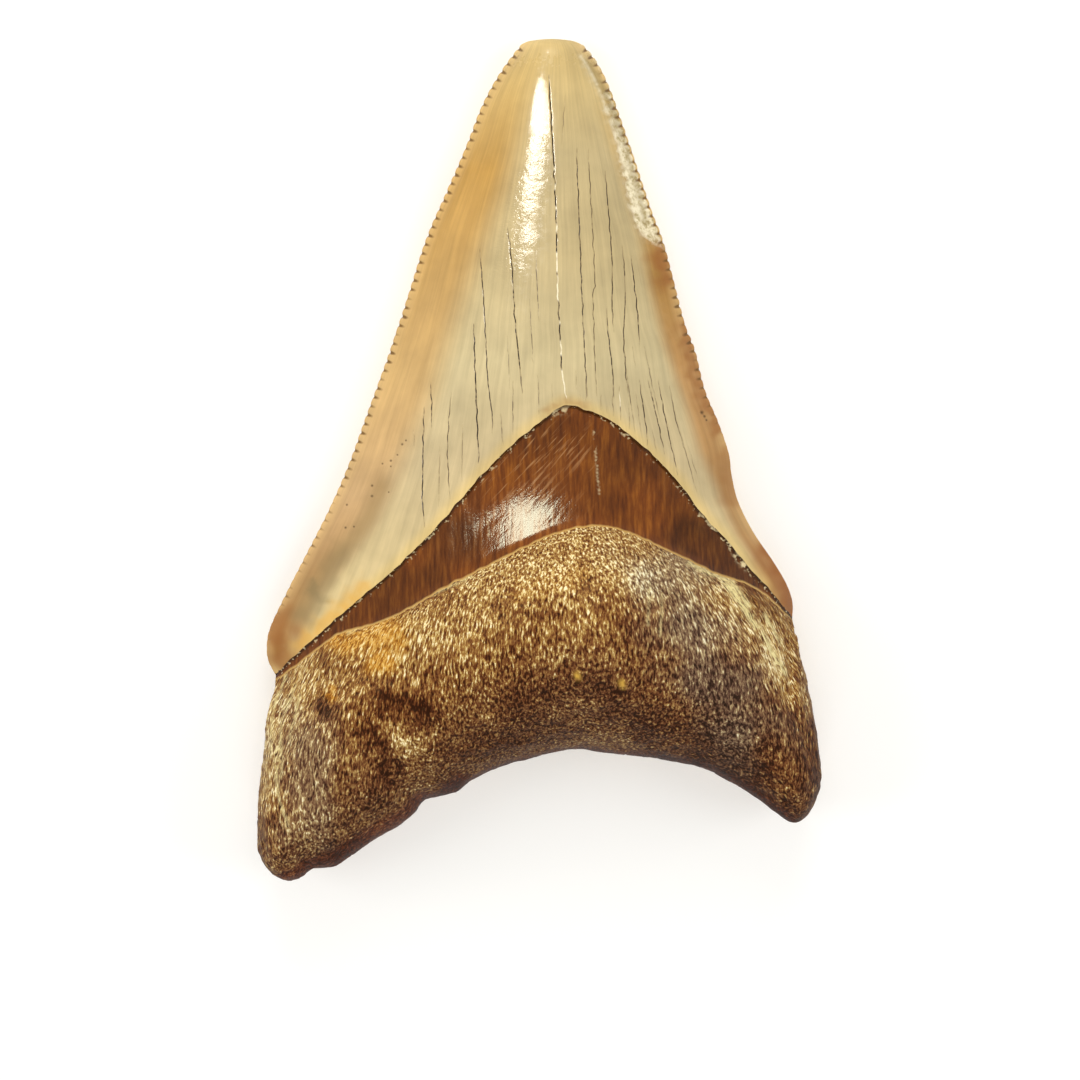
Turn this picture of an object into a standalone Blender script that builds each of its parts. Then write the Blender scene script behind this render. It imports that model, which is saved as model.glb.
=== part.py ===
# Megalodon tooth, a single fossil tooth lying on its labial (outer) face with the lingual face up.
# The crown is a serrated triangular blade, and the root a thick crescent with two lobes.
# +Y runs from the root to the tip, +Z is up, and the origin is under the middle of the tooth.
# Outlines and heights are in millimetres, and become metres where the mesh is made.

import math

import bmesh
import bpy
import numpy as np
from mathutils import Vector, noise
from mathutils.geometry import delaunay_2d_cdt

MM = 0.001

# Outline seen from above, anticlockwise from the blunt tip
TIP = [(3.4, 44.2), (1.2, 44.4), (-1.0, 44.2)]
LEFT_CUTTING_EDGE = [
    (-2.0, 43.8), (-2.9, 42.7), (-4.5, 40.4), (-6.2, 37.2), (-8.0, 32.6), (-10.1, 27.8),
    (-12.1, 23.1), (-14.1, 16.8), (-16.2, 10.5), (-18.5, 4.2), (-20.2, -0.5), (-22.3, -5.3),
    (-24.7, -10.0), (-27.1, -14.7), (-28.5, -17.8), (-28.8, -19.7), (-28.6, -21.2)]
LEFT_CORNER = [(-27.8, -22.6)]
LEFT_ROOT_SIDE = [
    (-27.9, -24.2), (-28.6, -27.3), (-28.9, -30.5), (-29.3, -33.8), (-29.6, -37.0),
    (-29.5, -40.0), (-29.1, -41.8), (-28.0, -43.3), (-26.6, -44.1)]
BASAL_EDGE = [
    (-25.2, -43.8), (-23.8, -42.9), (-21.5, -42.5), (-19.6, -41.3), (-17.4, -39.8), (-15.0, -38.4),
    (-13.2, -37.1), (-12.1, -35.6), (-10.4, -35.2), (-8.7, -34.7), (-7.1, -33.5), (-4.0, -32.1),
    (-0.8, -31.2), (2.0, -30.5), (4.4, -30.3), (7.2, -30.7), (11.8, -31.2), (16.5, -32.1),
    (19.6, -33.5), (22.8, -35.5), (24.6, -36.9), (26.2, -37.9)]
RIGHT_ROOT_SIDE = [
    (27.4, -37.7), (28.5, -36.4), (29.3, -34.5), (29.4, -32.0), (29.1, -29.5), (28.7, -27.0),
    (28.1, -24.0), (27.7, -22.0), (27.0, -19.4)]
RIGHT_CORNER = [(26.5, -16.7)]
RIGHT_CUTTING_EDGE = [
    (26.6, -15.0), (26.0, -13.1), (24.6, -10.7), (22.5, -7.6), (20.9, -4.4), (20.2, -1.6),
    (19.9, 0.7), (18.8, 4.0), (17.4, 7.4), (16.3, 11.8), (15.4, 14.0), (14.6, 17.0), (13.0, 23.1),
    (11.8, 26.3), (9.7, 32.6), (7.5, 38.9), (6.6, 40.9), (5.6, 42.6), (4.6, 43.7)]

# Lines across the faces, left to right: where the enamel ends and where the root begins
ENAMEL_BORDER = [
    (-27.8, -22.5), (-25.8, -20.6), (-19.7, -15.3), (-15.4, -11.7), (-11.6, -8.0), (-8.9, -5.0),
    (-6.3, -2.0), (-2.8, 1.5), (0.6, 4.2), (2.5, 5.5), (4.9, 5.0), (7.7, 3.7), (11.6, 0.5),
    (14.5, -2.5), (17.0, -5.8), (19.6, -8.5), (21.7, -11.1), (24.3, -13.9), (26.5, -16.5)]
ROOT_BORDER = [
    (-27.8, -23.2), (-25.5, -21.6), (-21.0, -18.3), (-17.3, -17.2), (-13.8, -15.7), (-10.1, -13.5),
    (-6.3, -11.6), (-2.2, -9.5), (1.9, -7.7), (5.6, -7.0), (8.9, -7.6), (11.6, -8.8), (15.3, -10.5),
    (18.2, -11.9), (21.7, -13.1), (24.0, -14.6), (26.5, -16.9)]
LABIAL_BORDER = [
    (-27.8, -22.4), (-24.0, -18.6), (-17.0, -14.0), (-8.0, -11.0), (1.0, -10.2), (10.0, -11.4),
    (18.0, -13.6), (23.5, -15.6), (26.5, -16.6)]

# The rim, where the lingual and labial faces meet: its height above the table, and how far from
# the root's border it takes to pass from the crown's height to the root's
CUTTING_EDGE_HEIGHT = 2.4
ROOT_RIM_HEIGHT = 5.0
RIM_CHANGE = 2.5

# Lingual face of the blade: its height along the middle, by the distance along the tooth, and its
# bow across, which is full where it joins the root and hollow towards the tip
BLADE_TOP = [
    (-26.0, 17.2), (-16.0, 16.0), (-8.0, 14.7), (0.0, 13.2), (5.0, 12.2), (12.0, 10.8), (20.0, 9.4),
    (28.0, 8.0), (36.0, 6.5), (41.0, 5.4), (44.4, 4.8)]
FULL_FLANK = 0.8
HOLLOW_FLANK = 1.3
FLANK_CHANGE = 22.0
TIP_ROUNDING = 1.8

# The enamel ends in a small ledge, and the neck band below it is slightly hollow
ENAMEL_STEP = 0.35
ENAMEL_STEP_WIDTH = 0.3
NECK_HOLLOW = 0.55
NECK_EASE = 4.0

# Lingual face of the root: a bulge in the middle, lower lobes, and flanks rounded down to the rim
TORUS_TOP = 18.0
TORUS_MIDDLE = 2.5
TORUS_HALF_WIDTH = 17.0
LOBE_TOP = 12.6
SIDE_FLANK = 9.5
BASAL_FLANK = 13.0
ROOT_SWELL = 8.5
ROOT_BROW = 0.7
RIM_EASE = 3.0
LUMP_HEIGHT = 0.45
LUMP_SIZE = 6.0
LUMP_LENGTH = 12.0

# Labial face: a gently bowed crown, and a root that is hollow between its lobes
LABIAL_BOW = 2.4
TIP_RISE = 1.3
CROWN_REST = 6.0
LABIAL_FLANK = 5.0
LABIAL_SWELL = 4.0
LABIAL_NECK = 8.0
LABIAL_LUMP_HEIGHT = 0.22
HOLLOW_DEPTH = 1.1
HOLLOW_HALF_WIDTH = 12.0
THINNEST = 0.05
# What the high spots of the lower face have worn down, where the tooth rests
REST_FLAT = 0.2

# Serrations along both cutting edges
SERRATION_PITCH = 1.0
SERRATION_DEPTH = 0.32

# Facets: rings of points in from the rim, and the spacing of the points inside them
CREST_INSET = 0.6
FLANK_INSET = 1.6
LINGUAL_RINGS = [0.15, 0.6, 1.4, 2.6]
LABIAL_RINGS = [0.15, 0.6, 1.6, 3.2]
ROOT_RIM_STEP = 1.25
LINGUAL_FACET = 1.7
LABIAL_FACET = 2.6
LINE_STEP = 1.5
REACH_X = 32.0
REACH_Y = 46.0


def spline(points, samples=12):
    """Smooth open curve through the points, as an array of many short steps."""
    p = np.array([points[0]] + list(points) + [points[-1]], float)
    t = np.linspace(0.0, 1.0, samples, endpoint=False)[:, None]
    runs = []
    for a, b, c, d in zip(p, p[1:], p[2:], p[3:]):
        runs.append(0.5 * (2 * b + (c - a) * t + (2 * a - 5 * b + 4 * c - d) * t ** 2
                           + (3 * b - a - 3 * c + d) * t ** 3))
    return np.vstack(runs + [p[-1:]])


def resample(curve, step):
    """The curve's points again, at equal distances of about one step."""
    reach = np.concatenate([[0.0], np.cumsum(np.linalg.norm(np.diff(curve, axis=0), axis=1))])
    count = max(1, round(reach[-1] / step))
    at = np.linspace(0.0, reach[-1], count + 1)
    return np.column_stack([np.interp(at, reach, curve[:, k]) for k in (0, 1)])


TIP_MIDDLE = TIP[1]
LEFT_SIDE = spline(TIP[1:] + LEFT_CUTTING_EDGE + LEFT_CORNER + LEFT_ROOT_SIDE)
RIGHT_SIDE = spline([BASAL_EDGE[-1]] + RIGHT_ROOT_SIDE + RIGHT_CORNER + RIGHT_CUTTING_EDGE + TIP[:2])
BASE = spline([LEFT_ROOT_SIDE[-1]] + BASAL_EDGE)


def line_height(points, x):
    """Y of a line across the tooth, at x."""
    curve = spline(points)
    return np.interp(x, curve[:, 0], curve[:, 1])


def line_distance(points, x, y):
    """How far a point is above a line across the tooth, about square to the line."""
    ahead = line_height(points, x + 0.5) - line_height(points, x - 0.5)
    return (y - line_height(points, x)) / np.sqrt(1.0 + ahead ** 2)


def curve_distance(curve, x, y):
    """Distance of each point from the nearest place on a curve."""
    a = curve[:-1]
    step = curve[1:] - a
    to = np.stack([x, y], axis=-1)[:, None, :] - a
    t = np.clip((to * step).sum(-1) / (step * step).sum(-1), 0.0, 1.0)
    return np.linalg.norm(to - t[..., None] * step, axis=-1).min(axis=1)


def smoothstep(low, high, value):
    t = np.clip((value - low) / (high - low), 0.0, 1.0)
    return t * t * (3.0 - 2.0 * t)


def round_over(t):
    """Quarter round: 0 at the rim, 1 and level from t = 1 inwards."""
    return np.sqrt(1.0 - (1.0 - np.clip(t, 0.0, 1.0)) ** 2)


def joined_distance(distances):
    """Distance from several edges at once, with no crease where the nearest edge changes."""
    return sum((d + 1e-6) ** -3.0 for d in distances) ** (-1.0 / 3.0)


def across(x, y):
    """Place across the tooth: -1 on its left side, 1 on its right side."""
    left = np.interp(y, LEFT_SIDE[::-1, 1], LEFT_SIDE[::-1, 0])
    right = np.interp(y, RIGHT_SIDE[:, 1], RIGHT_SIDE[:, 0])
    return np.clip((2.0 * x - left - right) / (right - left), -1.0, 1.0)


def rim_height(x, y):
    """Height of the edge where the lingual and labial faces meet."""
    root = smoothstep(-RIM_CHANGE, RIM_CHANGE, -line_distance(ROOT_BORDER, x, y))
    return CUTTING_EDGE_HEIGHT + (ROOT_RIM_HEIGHT - CUTTING_EDGE_HEIGHT) * root


def lumps(x, y, layer):
    """Low swellings of the root, longer along the tooth than across it, from -1 to 1."""
    places = zip(x / LUMP_SIZE, y / LUMP_LENGTH)
    return np.array([noise.noise(Vector((a, b, layer))) for a, b in places])


def lingual(x, y):
    """Height of the upper face."""
    below_enamel = -line_distance(ENAMEL_BORDER, x, y)
    in_root = -line_distance(ROOT_BORDER, x, y)
    rim = rim_height(x, y)
    bow = FULL_FLANK + (HOLLOW_FLANK - FULL_FLANK) * smoothstep(0.0, FLANK_CHANGE, -below_enamel)
    blade = (np.interp(y, *zip(*BLADE_TOP)) - rim) * (1.0 - across(x, y) ** 2) ** bow
    blade = blade * round_over((TIP_MIDDLE[1] - y) / TIP_ROUNDING)
    sides = [curve_distance(LEFT_SIDE, x, y), curve_distance(RIGHT_SIDE, x, y)]
    base = curve_distance(BASE, x, y)
    flank = round_over(joined_distance(sides + [base * SIDE_FLANK / BASAL_FLANK]) / SIDE_FLANK)
    torus = np.exp(-((x - TORUS_MIDDLE) / TORUS_HALF_WIDTH) ** 2)
    root = (LOBE_TOP + (TORUS_TOP - LOBE_TOP) * torus - rim) * flank
    root = root + LUMP_HEIGHT * lumps(x, y, 3.7) * flank
    share = smoothstep(-0.5, ROOT_SWELL, in_root)
    height = rim + (1.0 - share) * blade + share * root
    step = ENAMEL_STEP * np.clip(below_enamel / ENAMEL_STEP_WIDTH, 0.0, 1.0) * (1.0 - share)
    neck = NECK_HOLLOW * smoothstep(0.0, NECK_EASE, below_enamel)
    neck = neck * (1.0 - smoothstep(-2.0, 0.5, in_root))
    brow = ROOT_BROW * smoothstep(-0.3, 1.2, in_root) * (1.0 - share)
    return height + (brow - step - neck) * smoothstep(0.0, RIM_EASE, joined_distance(sides + [base]))


def labial(x, y):
    """Height of the lower face."""
    crown = CUTTING_EDGE_HEIGHT * np.abs(across(x, y)) ** LABIAL_BOW
    crown = crown + TIP_RISE * ((y - CROWN_REST) / (TIP_MIDDLE[1] - CROWN_REST)) ** 2
    edges = [curve_distance(curve, x, y) for curve in (LEFT_SIDE, RIGHT_SIDE, BASE)]
    flank = round_over(joined_distance(edges) / LABIAL_FLANK)
    in_root = -line_distance(LABIAL_BORDER, x, y)
    hollow = HOLLOW_DEPTH * np.exp(-((x - TORUS_MIDDLE) / HOLLOW_HALF_WIDTH) ** 2)
    root = ROOT_RIM_HEIGHT * (1.0 - flank) + hollow + LABIAL_LUMP_HEIGHT * lumps(x, y, 9.2)
    share = smoothstep(-1.0, LABIAL_SWELL, in_root)
    step = ENAMEL_STEP * np.clip(in_root / ENAMEL_STEP_WIDTH, 0.0, 1.0)
    step = step * (1.0 - smoothstep(1.0, LABIAL_NECK, in_root))
    height = (1.0 - share) * crown + share * root + step - REST_FLAT
    return np.clip(height, 0.0, rim_height(x, y) - THINNEST)


def stations(curve, step):
    """Points along a stretch of the rim, and the way inwards at each."""
    points = resample(curve, step)
    along = np.gradient(points, axis=0)
    along /= np.linalg.norm(along, axis=1)[:, None]
    return points, np.column_stack([-along[:, 1], along[:, 0]])


def rim_and_rings(insets):
    """The outline, anticlockwise from the tip, and rings of points inside it.

    A cutting edge is a crest and a notch for each pitch, with a ring point behind each crest.
    """
    tip = spline([RIGHT_CUTTING_EDGE[-1]] + TIP + [LEFT_CUTTING_EDGE[0]])
    left_edge = spline(LEFT_CUTTING_EDGE + LEFT_CORNER)
    root = spline(LEFT_CORNER + LEFT_ROOT_SIDE + BASAL_EDGE + RIGHT_ROOT_SIDE + RIGHT_CORNER)
    right_edge = spline(RIGHT_CORNER + RIGHT_CUTTING_EDGE)
    rim = []
    rings = {inset: [] for inset in insets}
    behind_crests = []
    for curve, serrated in ((tip, False), (left_edge, True), (root, False), (right_edge, True)):
        points, inwards = stations(curve, SERRATION_PITCH / 2 if serrated else ROOT_RIM_STEP)
        if serrated:
            notch = np.arange(len(points)) % 2
            behind_crests.append((points + inwards * CREST_INSET)[2:-2:2])
            behind_crests.append((points + inwards * FLANK_INSET)[4:-4:4])
            points = points + inwards * (SERRATION_DEPTH * notch)[:, None]
        else:
            for inset in insets:
                rings[inset].append(points + inwards * inset)
        rim.append(points[:-1])
    rim = np.vstack(rim)
    closed = np.vstack([rim, rim[:1]])
    inner = [np.vstack(behind_crests)]
    for inset in insets:
        kept = []
        for point in np.vstack(rings[inset]):
            clear = curve_distance(closed, point[None, 0], point[None, 1])[0] > 0.85 * inset
            if clear and all(np.linalg.norm(point - other) > 0.5 * ROOT_RIM_STEP for other in kept):
                kept.append(point)
        inner.append(np.array(kept))
    return rim, np.vstack(inner)


def inside(outline, points):
    """Which points lie within the closed outline."""
    a = outline
    b = np.roll(outline, -1, axis=0)
    x, y = points[:, 0, None], points[:, 1, None]
    crosses = (a[:, 1] > y) != (b[:, 1] > y)
    run = np.where(b[:, 1] == a[:, 1], 1e-9, b[:, 1] - a[:, 1])
    hit = x < (b[:, 0] - a[:, 0]) * (y - a[:, 1]) / run + a[:, 0]
    return (crosses & hit).sum(axis=1) % 2 == 1


def hex_grid(spacing):
    rows = []
    for k, y in enumerate(np.arange(-REACH_Y, REACH_Y, spacing * math.sqrt(3) / 2)):
        x = np.arange(-REACH_X, REACH_X, spacing) + (k % 2) * spacing / 2
        rows.append(np.column_stack([x, np.full(len(x), y)]))
    return np.vstack(rows)


def border_line(border, offset=0.0):
    """Points along a border, or that far below it, so that no facet crosses a ledge."""
    curve = spline(border)
    along = np.gradient(curve, axis=0)
    along /= np.linalg.norm(along, axis=1)[:, None]
    below = np.column_stack([along[:, 1], -along[:, 0]])
    return resample(curve + below * offset, LINE_STEP)[2:-2]


def nearest(points, others):
    """Distance of each point from the nearest of the others."""
    return np.linalg.norm(points[:, None] - others, axis=-1).min(axis=1)


def facets(insets, spacing, lines):
    """Plan view of one face cut into triangles.

    Gives the points, the triangles, and for each point its places in the list put in, where the
    rim's points come first.
    """
    rim, rings = rim_and_rings(insets)
    lined = np.vstack(lines)
    rings = rings[nearest(rings, lined) > 0.4 * spacing]
    grid = hex_grid(spacing)
    grid = grid[inside(rim, grid)]
    grid = grid[nearest(grid, np.vstack([rim, rings])) > 0.6 * spacing]
    grid = grid[nearest(grid, lined) > 0.6 * spacing]
    points = np.vstack([rim, lined, rings, grid])
    edges = []
    start = len(rim)
    for line in lines:
        edges += [(start + k, start + k + 1) for k in range(len(line) - 1)]
        start += len(line)
    flat = [Vector(p) for p in points.tolist()]
    found = delaunay_2d_cdt(flat, edges, [list(range(len(rim)))], 1, 1e-5)
    return np.array([tuple(v) for v in found[0]]), found[2], found[3]


def add_face(mesh, rim_verts, face, height, turned):
    """Raise one face's plan to its heights and join it to the rim."""
    points, triangles, sources = face
    verts = []
    for (x, y), z, source in zip(points, height(points[:, 0], points[:, 1]), sources):
        if source and source[0] < len(rim_verts):
            verts.append(rim_verts[source[0]])
        else:
            verts.append(mesh.verts.new((x * MM, y * MM, z * MM)))
    for triangle in triangles:
        corners = [verts[k] for k in triangle]
        mesh.faces.new(corners[::-1] if turned else corners)


def build_tooth():
    """The whole tooth as one closed solid: the lingual and labial faces share the rim."""
    rim, _ = rim_and_rings([])
    mesh = bmesh.new()
    rim_z = rim_height(rim[:, 0], rim[:, 1])
    rim_verts = [mesh.verts.new((x * MM, y * MM, z * MM)) for (x, y), z in zip(rim, rim_z)]
    ledge = [border_line(ENAMEL_BORDER), border_line(ENAMEL_BORDER, ENAMEL_STEP_WIDTH)]
    upper = facets(LINGUAL_RINGS, LINGUAL_FACET, ledge + [border_line(ROOT_BORDER)])
    ledge = [border_line(LABIAL_BORDER), border_line(LABIAL_BORDER, ENAMEL_STEP_WIDTH)]
    lower = facets(LABIAL_RINGS, LABIAL_FACET, ledge)
    add_face(mesh, rim_verts, upper, lingual, False)
    add_face(mesh, rim_verts, lower, labial, True)
    data = bpy.data.meshes.new("tooth")
    mesh.to_mesh(data)
    mesh.free()
    return data


def fossil_enamel():
    """Polished fossil enamel, warm ivory."""
    material = bpy.data.materials.new("fossil_enamel")
    material.use_nodes = True
    shader = material.node_tree.nodes["Principled BSDF"]
    shader.inputs["Base Color"].default_value = (0.62, 0.50, 0.28, 1.0)
    shader.inputs["Roughness"].default_value = 0.35
    shader.inputs["Metallic"].default_value = 0.0
    return material


for leftover in list(bpy.data.objects):
    bpy.data.objects.remove(leftover, do_unlink=True)

tooth = bpy.data.objects.new("tooth", build_tooth())
tooth.data.materials.append(fossil_enamel())
tooth.data.shade_smooth()
tooth.data.set_sharp_from_angle(angle=math.radians(40.0))
bpy.context.scene.collection.objects.link(tooth)
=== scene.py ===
# A megalodon tooth: one fossil tooth lying on its labial (outer) face, seen from straight above.
# The crown is polished enamel, the neck a smooth brown band and the root rough fossil bone.
# Shapes are worked out in millimetres on the frame's own axes: +Y runs to the tip, +Z is up.

import math

import bpy
import numpy as np
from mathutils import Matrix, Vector, kdtree, noise
from mathutils.geometry import delaunay_2d_cdt


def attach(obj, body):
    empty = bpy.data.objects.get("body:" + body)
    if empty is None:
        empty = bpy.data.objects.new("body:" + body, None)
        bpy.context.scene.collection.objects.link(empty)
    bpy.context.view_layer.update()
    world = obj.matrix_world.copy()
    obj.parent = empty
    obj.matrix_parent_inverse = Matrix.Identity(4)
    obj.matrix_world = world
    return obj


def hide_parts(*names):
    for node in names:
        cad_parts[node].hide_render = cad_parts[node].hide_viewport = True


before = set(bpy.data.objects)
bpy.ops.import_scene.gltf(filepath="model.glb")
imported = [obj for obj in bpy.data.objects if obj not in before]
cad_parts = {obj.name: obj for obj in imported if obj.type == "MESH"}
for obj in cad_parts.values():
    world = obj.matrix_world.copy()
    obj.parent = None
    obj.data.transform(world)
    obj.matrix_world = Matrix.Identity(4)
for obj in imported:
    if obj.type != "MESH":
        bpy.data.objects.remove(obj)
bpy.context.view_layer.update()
MM = 0.001


# Outline of the tooth
# The rim where the lingual (upper) and labial (lower) faces meet, seen from above. The two cutting
# edges are serrated, the corners stick out over the root, and the root's base is a wide arch.

TIP = [(3.4, 44.2), (1.2, 44.4), (-1.0, 44.2)]
LEFT_CUTTING_EDGE = [
    (-2.0, 43.8), (-2.9, 42.7), (-4.5, 40.4), (-6.2, 37.2), (-8.0, 32.6), (-10.1, 27.8),
    (-12.1, 23.1), (-14.1, 16.8), (-16.2, 10.5), (-18.5, 4.2), (-20.2, -0.5), (-22.3, -5.3),
    (-24.7, -10.0), (-27.1, -14.7), (-28.5, -17.8), (-28.8, -19.7), (-28.6, -21.2)]
LEFT_CORNER = [(-27.8, -22.6)]
LEFT_ROOT_SIDE = [
    (-27.9, -24.2), (-28.6, -27.3), (-28.9, -30.5), (-29.3, -33.8), (-29.6, -37.0),
    (-29.5, -40.0), (-29.1, -41.8), (-28.0, -43.3), (-26.6, -44.1)]
BASAL_EDGE = [
    (-25.2, -43.8), (-23.8, -42.9), (-21.5, -42.5), (-19.6, -41.3), (-17.4, -39.8), (-15.0, -38.4),
    (-13.2, -37.1), (-12.1, -35.6), (-10.4, -35.2), (-8.7, -34.7), (-7.1, -33.5), (-4.0, -32.1),
    (-0.8, -31.2), (2.0, -30.5), (4.4, -30.3), (7.2, -30.7), (11.8, -31.2), (16.5, -32.1),
    (19.6, -33.5), (22.8, -35.5), (24.6, -36.9), (26.2, -37.9)]
RIGHT_ROOT_SIDE = [
    (27.4, -37.7), (28.5, -36.4), (29.3, -34.5), (29.4, -32.0), (29.1, -29.5), (28.7, -27.0),
    (28.1, -24.0), (27.7, -22.0), (27.0, -19.4)]
RIGHT_CORNER = [(26.5, -16.7)]
RIGHT_CUTTING_EDGE = [
    (26.6, -15.0), (26.0, -13.1), (24.6, -10.7), (22.5, -7.6), (20.9, -4.4), (20.2, -1.6),
    (19.9, 0.7), (18.8, 4.0), (17.4, 7.4), (16.3, 11.8), (15.4, 14.0), (14.6, 17.0), (13.0, 23.1),
    (11.8, 26.3), (9.7, 32.6), (8.53, 36.02), (7.5, 38.9), (6.6, 40.9), (5.6, 42.6), (4.6, 43.7)]
CURVE_STEP = 0.08
CURVE_SAMPLES = 12


def spline(points):
    """Smooth open curve through the points, as an array of many short steps."""
    p = np.array([points[0]] + list(points) + [points[-1]], float)
    t = np.linspace(0.0, 1.0, CURVE_SAMPLES, endpoint=False)[:, None]
    runs = []
    for a, b, c, d in zip(p, p[1:], p[2:], p[3:]):
        runs.append(0.5 * (2 * b + (c - a) * t + (2 * a - 5 * b + 4 * c - d) * t ** 2
                           + (3 * b - a - 3 * c + d) * t ** 3))
    return np.vstack(runs + [p[-1:]])


def resample(curve, step):
    """The curve's points again, at equal distances of about one step."""
    reach = np.concatenate([[0.0], np.cumsum(np.linalg.norm(np.diff(curve, axis=0), axis=1))])
    count = max(1, round(reach[-1] / step))
    at = np.linspace(0.0, reach[-1], count + 1)
    return np.column_stack([np.interp(at, reach, curve[:, k]) for k in (0, 1)])


def tree_of(points):
    """A search tree of plan points."""
    tree = kdtree.KDTree(len(points))
    for k, (x, y) in enumerate(points):
        tree.insert((x, y, 0.0), k)
    tree.balance()
    return tree


def finder(curve):
    """A function that gives each point's distance from the curve, run along it and way inwards."""
    curve = resample(curve, CURVE_STEP)
    tree = tree_of(curve)
    stretch = np.linalg.norm(curve[1] - curve[0])

    def find(x, y):
        close = np.array([tree.find((a, b, 0.0))[1] for a, b in zip(x, y)], int)
        point = np.column_stack([x, y])
        best = np.full(len(point), np.inf)
        run = np.zeros(len(point))
        inwards = np.zeros((len(point), 2))
        for first in (np.maximum(close - 1, 0), np.minimum(close, len(curve) - 2)):
            step = curve[first + 1] - curve[first]
            to = point - curve[first]
            t = np.clip((to * step).sum(1) / (step * step).sum(1), 0.0, 1.0)
            away = np.linalg.norm(to - t[:, None] * step, axis=1)
            nearer = away < best
            best[nearer] = away[nearer]
            run[nearer] = ((first + t) * stretch)[nearer]
            turned = np.column_stack([-step[:, 1], step[:, 0]]) / stretch
            inwards[nearer] = turned[nearer]
        return best, run, inwards
    return find


LEFT_SIDE = spline(TIP[1:] + LEFT_CUTTING_EDGE + LEFT_CORNER + LEFT_ROOT_SIDE)
RIGHT_SIDE = spline(
    [BASAL_EDGE[-1]] + RIGHT_ROOT_SIDE + RIGHT_CORNER + RIGHT_CUTTING_EDGE + TIP[:2])
BASE = spline([LEFT_ROOT_SIDE[-1]] + BASAL_EDGE)
TIP_RIM = spline([RIGHT_CUTTING_EDGE[-1]] + TIP + [LEFT_CUTTING_EDGE[0]])
LEFT_EDGE = spline(LEFT_CUTTING_EDGE + LEFT_CORNER)
ROOT_RIM = spline(LEFT_CORNER + LEFT_ROOT_SIDE + BASAL_EDGE + RIGHT_ROOT_SIDE + RIGHT_CORNER)
RIGHT_EDGE = spline(RIGHT_CORNER + RIGHT_CUTTING_EDGE)
from_left_side = finder(LEFT_SIDE)
from_right_side = finder(RIGHT_SIDE)
from_base = finder(BASE)
from_left_edge = finder(LEFT_EDGE)
from_right_edge = finder(RIGHT_EDGE)
from_root_rim = finder(ROOT_RIM)


def side_limits(y):
    """X of the tooth's left and right sides at y."""
    left = np.interp(y, LEFT_SIDE[::-1, 1], LEFT_SIDE[::-1, 0])
    right = np.interp(y, RIGHT_SIDE[:, 1], RIGHT_SIDE[:, 0])
    return left, right


def inside(x, y):
    """Which points lie within the outline."""
    left, right = side_limits(y)
    return (x > left) & (x < right) & (y > np.interp(x, BASE[:, 0], BASE[:, 1]))


def across(x, y):
    """Place across the tooth: -1 on its left side, 1 on its right side."""
    left, right = side_limits(y)
    return np.clip((2.0 * x - left - right) / (right - left), -1.0, 1.0)


# Form of the two faces
# The lingual face is a bowed blade, a slightly hollow neck below the ledge where the enamel ends,
# and a root with a bulge in its middle. It has a flaked strip by the right cutting edge, a shallow
# valley low on the left and a few dark pinpricks. The labial face is nearly flat: the tooth rests on it.

ENAMEL_BORDER = [
    (-27.8, -22.5), (-25.8, -20.6), (-19.7, -15.3), (-15.4, -11.7), (-11.6, -8.0), (-8.9, -5.0),
    (-6.3, -2.0), (-2.8, 1.5), (0.6, 4.2), (2.5, 5.5), (4.9, 5.0), (7.7, 3.7), (11.6, 0.5),
    (14.5, -2.5), (17.0, -5.8), (19.6, -8.5), (21.7, -11.1), (24.3, -13.9), (26.5, -16.5)]
ROOT_BORDER = [
    (-27.8, -23.2), (-25.5, -21.6), (-21.0, -18.3), (-17.3, -17.2), (-13.8, -15.7), (-10.1, -13.5),
    (-6.3, -11.6), (-2.2, -9.5), (1.9, -7.7), (5.6, -7.0), (8.9, -7.6), (11.6, -8.8), (15.3, -10.5),
    (18.2, -11.9), (21.7, -13.1), (24.0, -14.6), (26.5, -16.9)]
LABIAL_BORDER = [
    (-27.8, -22.4), (-24.0, -18.6), (-17.0, -14.0), (-8.0, -11.0), (1.0, -10.2), (10.0, -11.4),
    (18.0, -13.6), (23.5, -15.6), (26.5, -16.6)]
CUTTING_EDGE_HEIGHT = 2.4
ROOT_RIM_HEIGHT = 5.0
RIM_CHANGE = 2.5
BLADE_TOP = [
    (-26.0, 17.2), (-16.0, 16.5), (-12.0, 15.6), (-8.0, 14.3), (-4.0, 13.05), (0.0, 12.45),
    (5.0, 11.85), (12.0, 11.16), (16.0, 10.7), (20.0, 10.16), (24.0, 9.42), (28.0, 8.63),
    (32.0, 7.76), (36.0, 6.76), (37.2, 6.47), (38.6, 6.17), (40.0, 5.94), (41.4, 5.8), (42.8, 5.72),
    (44.4, 5.66)]
MIDDLE_FLATNESS = [
    (-26.0, 2.0), (0.0, 2.0), (12.0, 2.3), (20.0, 2.2), (28.0, 2.4), (36.0, 2.55), (41.0, 2.4)]
CREST_SHIFT = 0.08
CREST_SHIFT_RANGE = (10.0, -6.0)
FULL_FLANK = 0.95
HOLLOW_FLANK = 1.4
FLANK_CHANGE = 22.0
TIP_ROUNDING = 1.8
ENAMEL_STEP = 0.35
ENAMEL_STEP_WIDTH = 0.3
NECK_HOLLOW = 0.55
NECK_EASE = 4.0
NECK_END = (-1.0, 0.8)
TORUS_TOP = 18.0
TORUS_MIDDLE = 2.5
TORUS_HALF_WIDTH = 17.0
LOBE_TOP = 12.6
SIDE_FLANK = 9.5
BASAL_FLANK = 13.0
ROOT_START = -0.5
ROOT_SWELL = 8.5
ROOT_BROW = 0.4
BROW_RISE = (-0.3, 1.2)
RIM_EASE = 3.0
LUMP_HEIGHT = 0.45
LUMP_SIZE = 6.0
LUMP_LENGTH = 12.0
LINGUAL_LUMP_SEED = 3.7
LABIAL_LUMP_SEED = 9.2
LABIAL_BOW = 2.4
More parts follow.
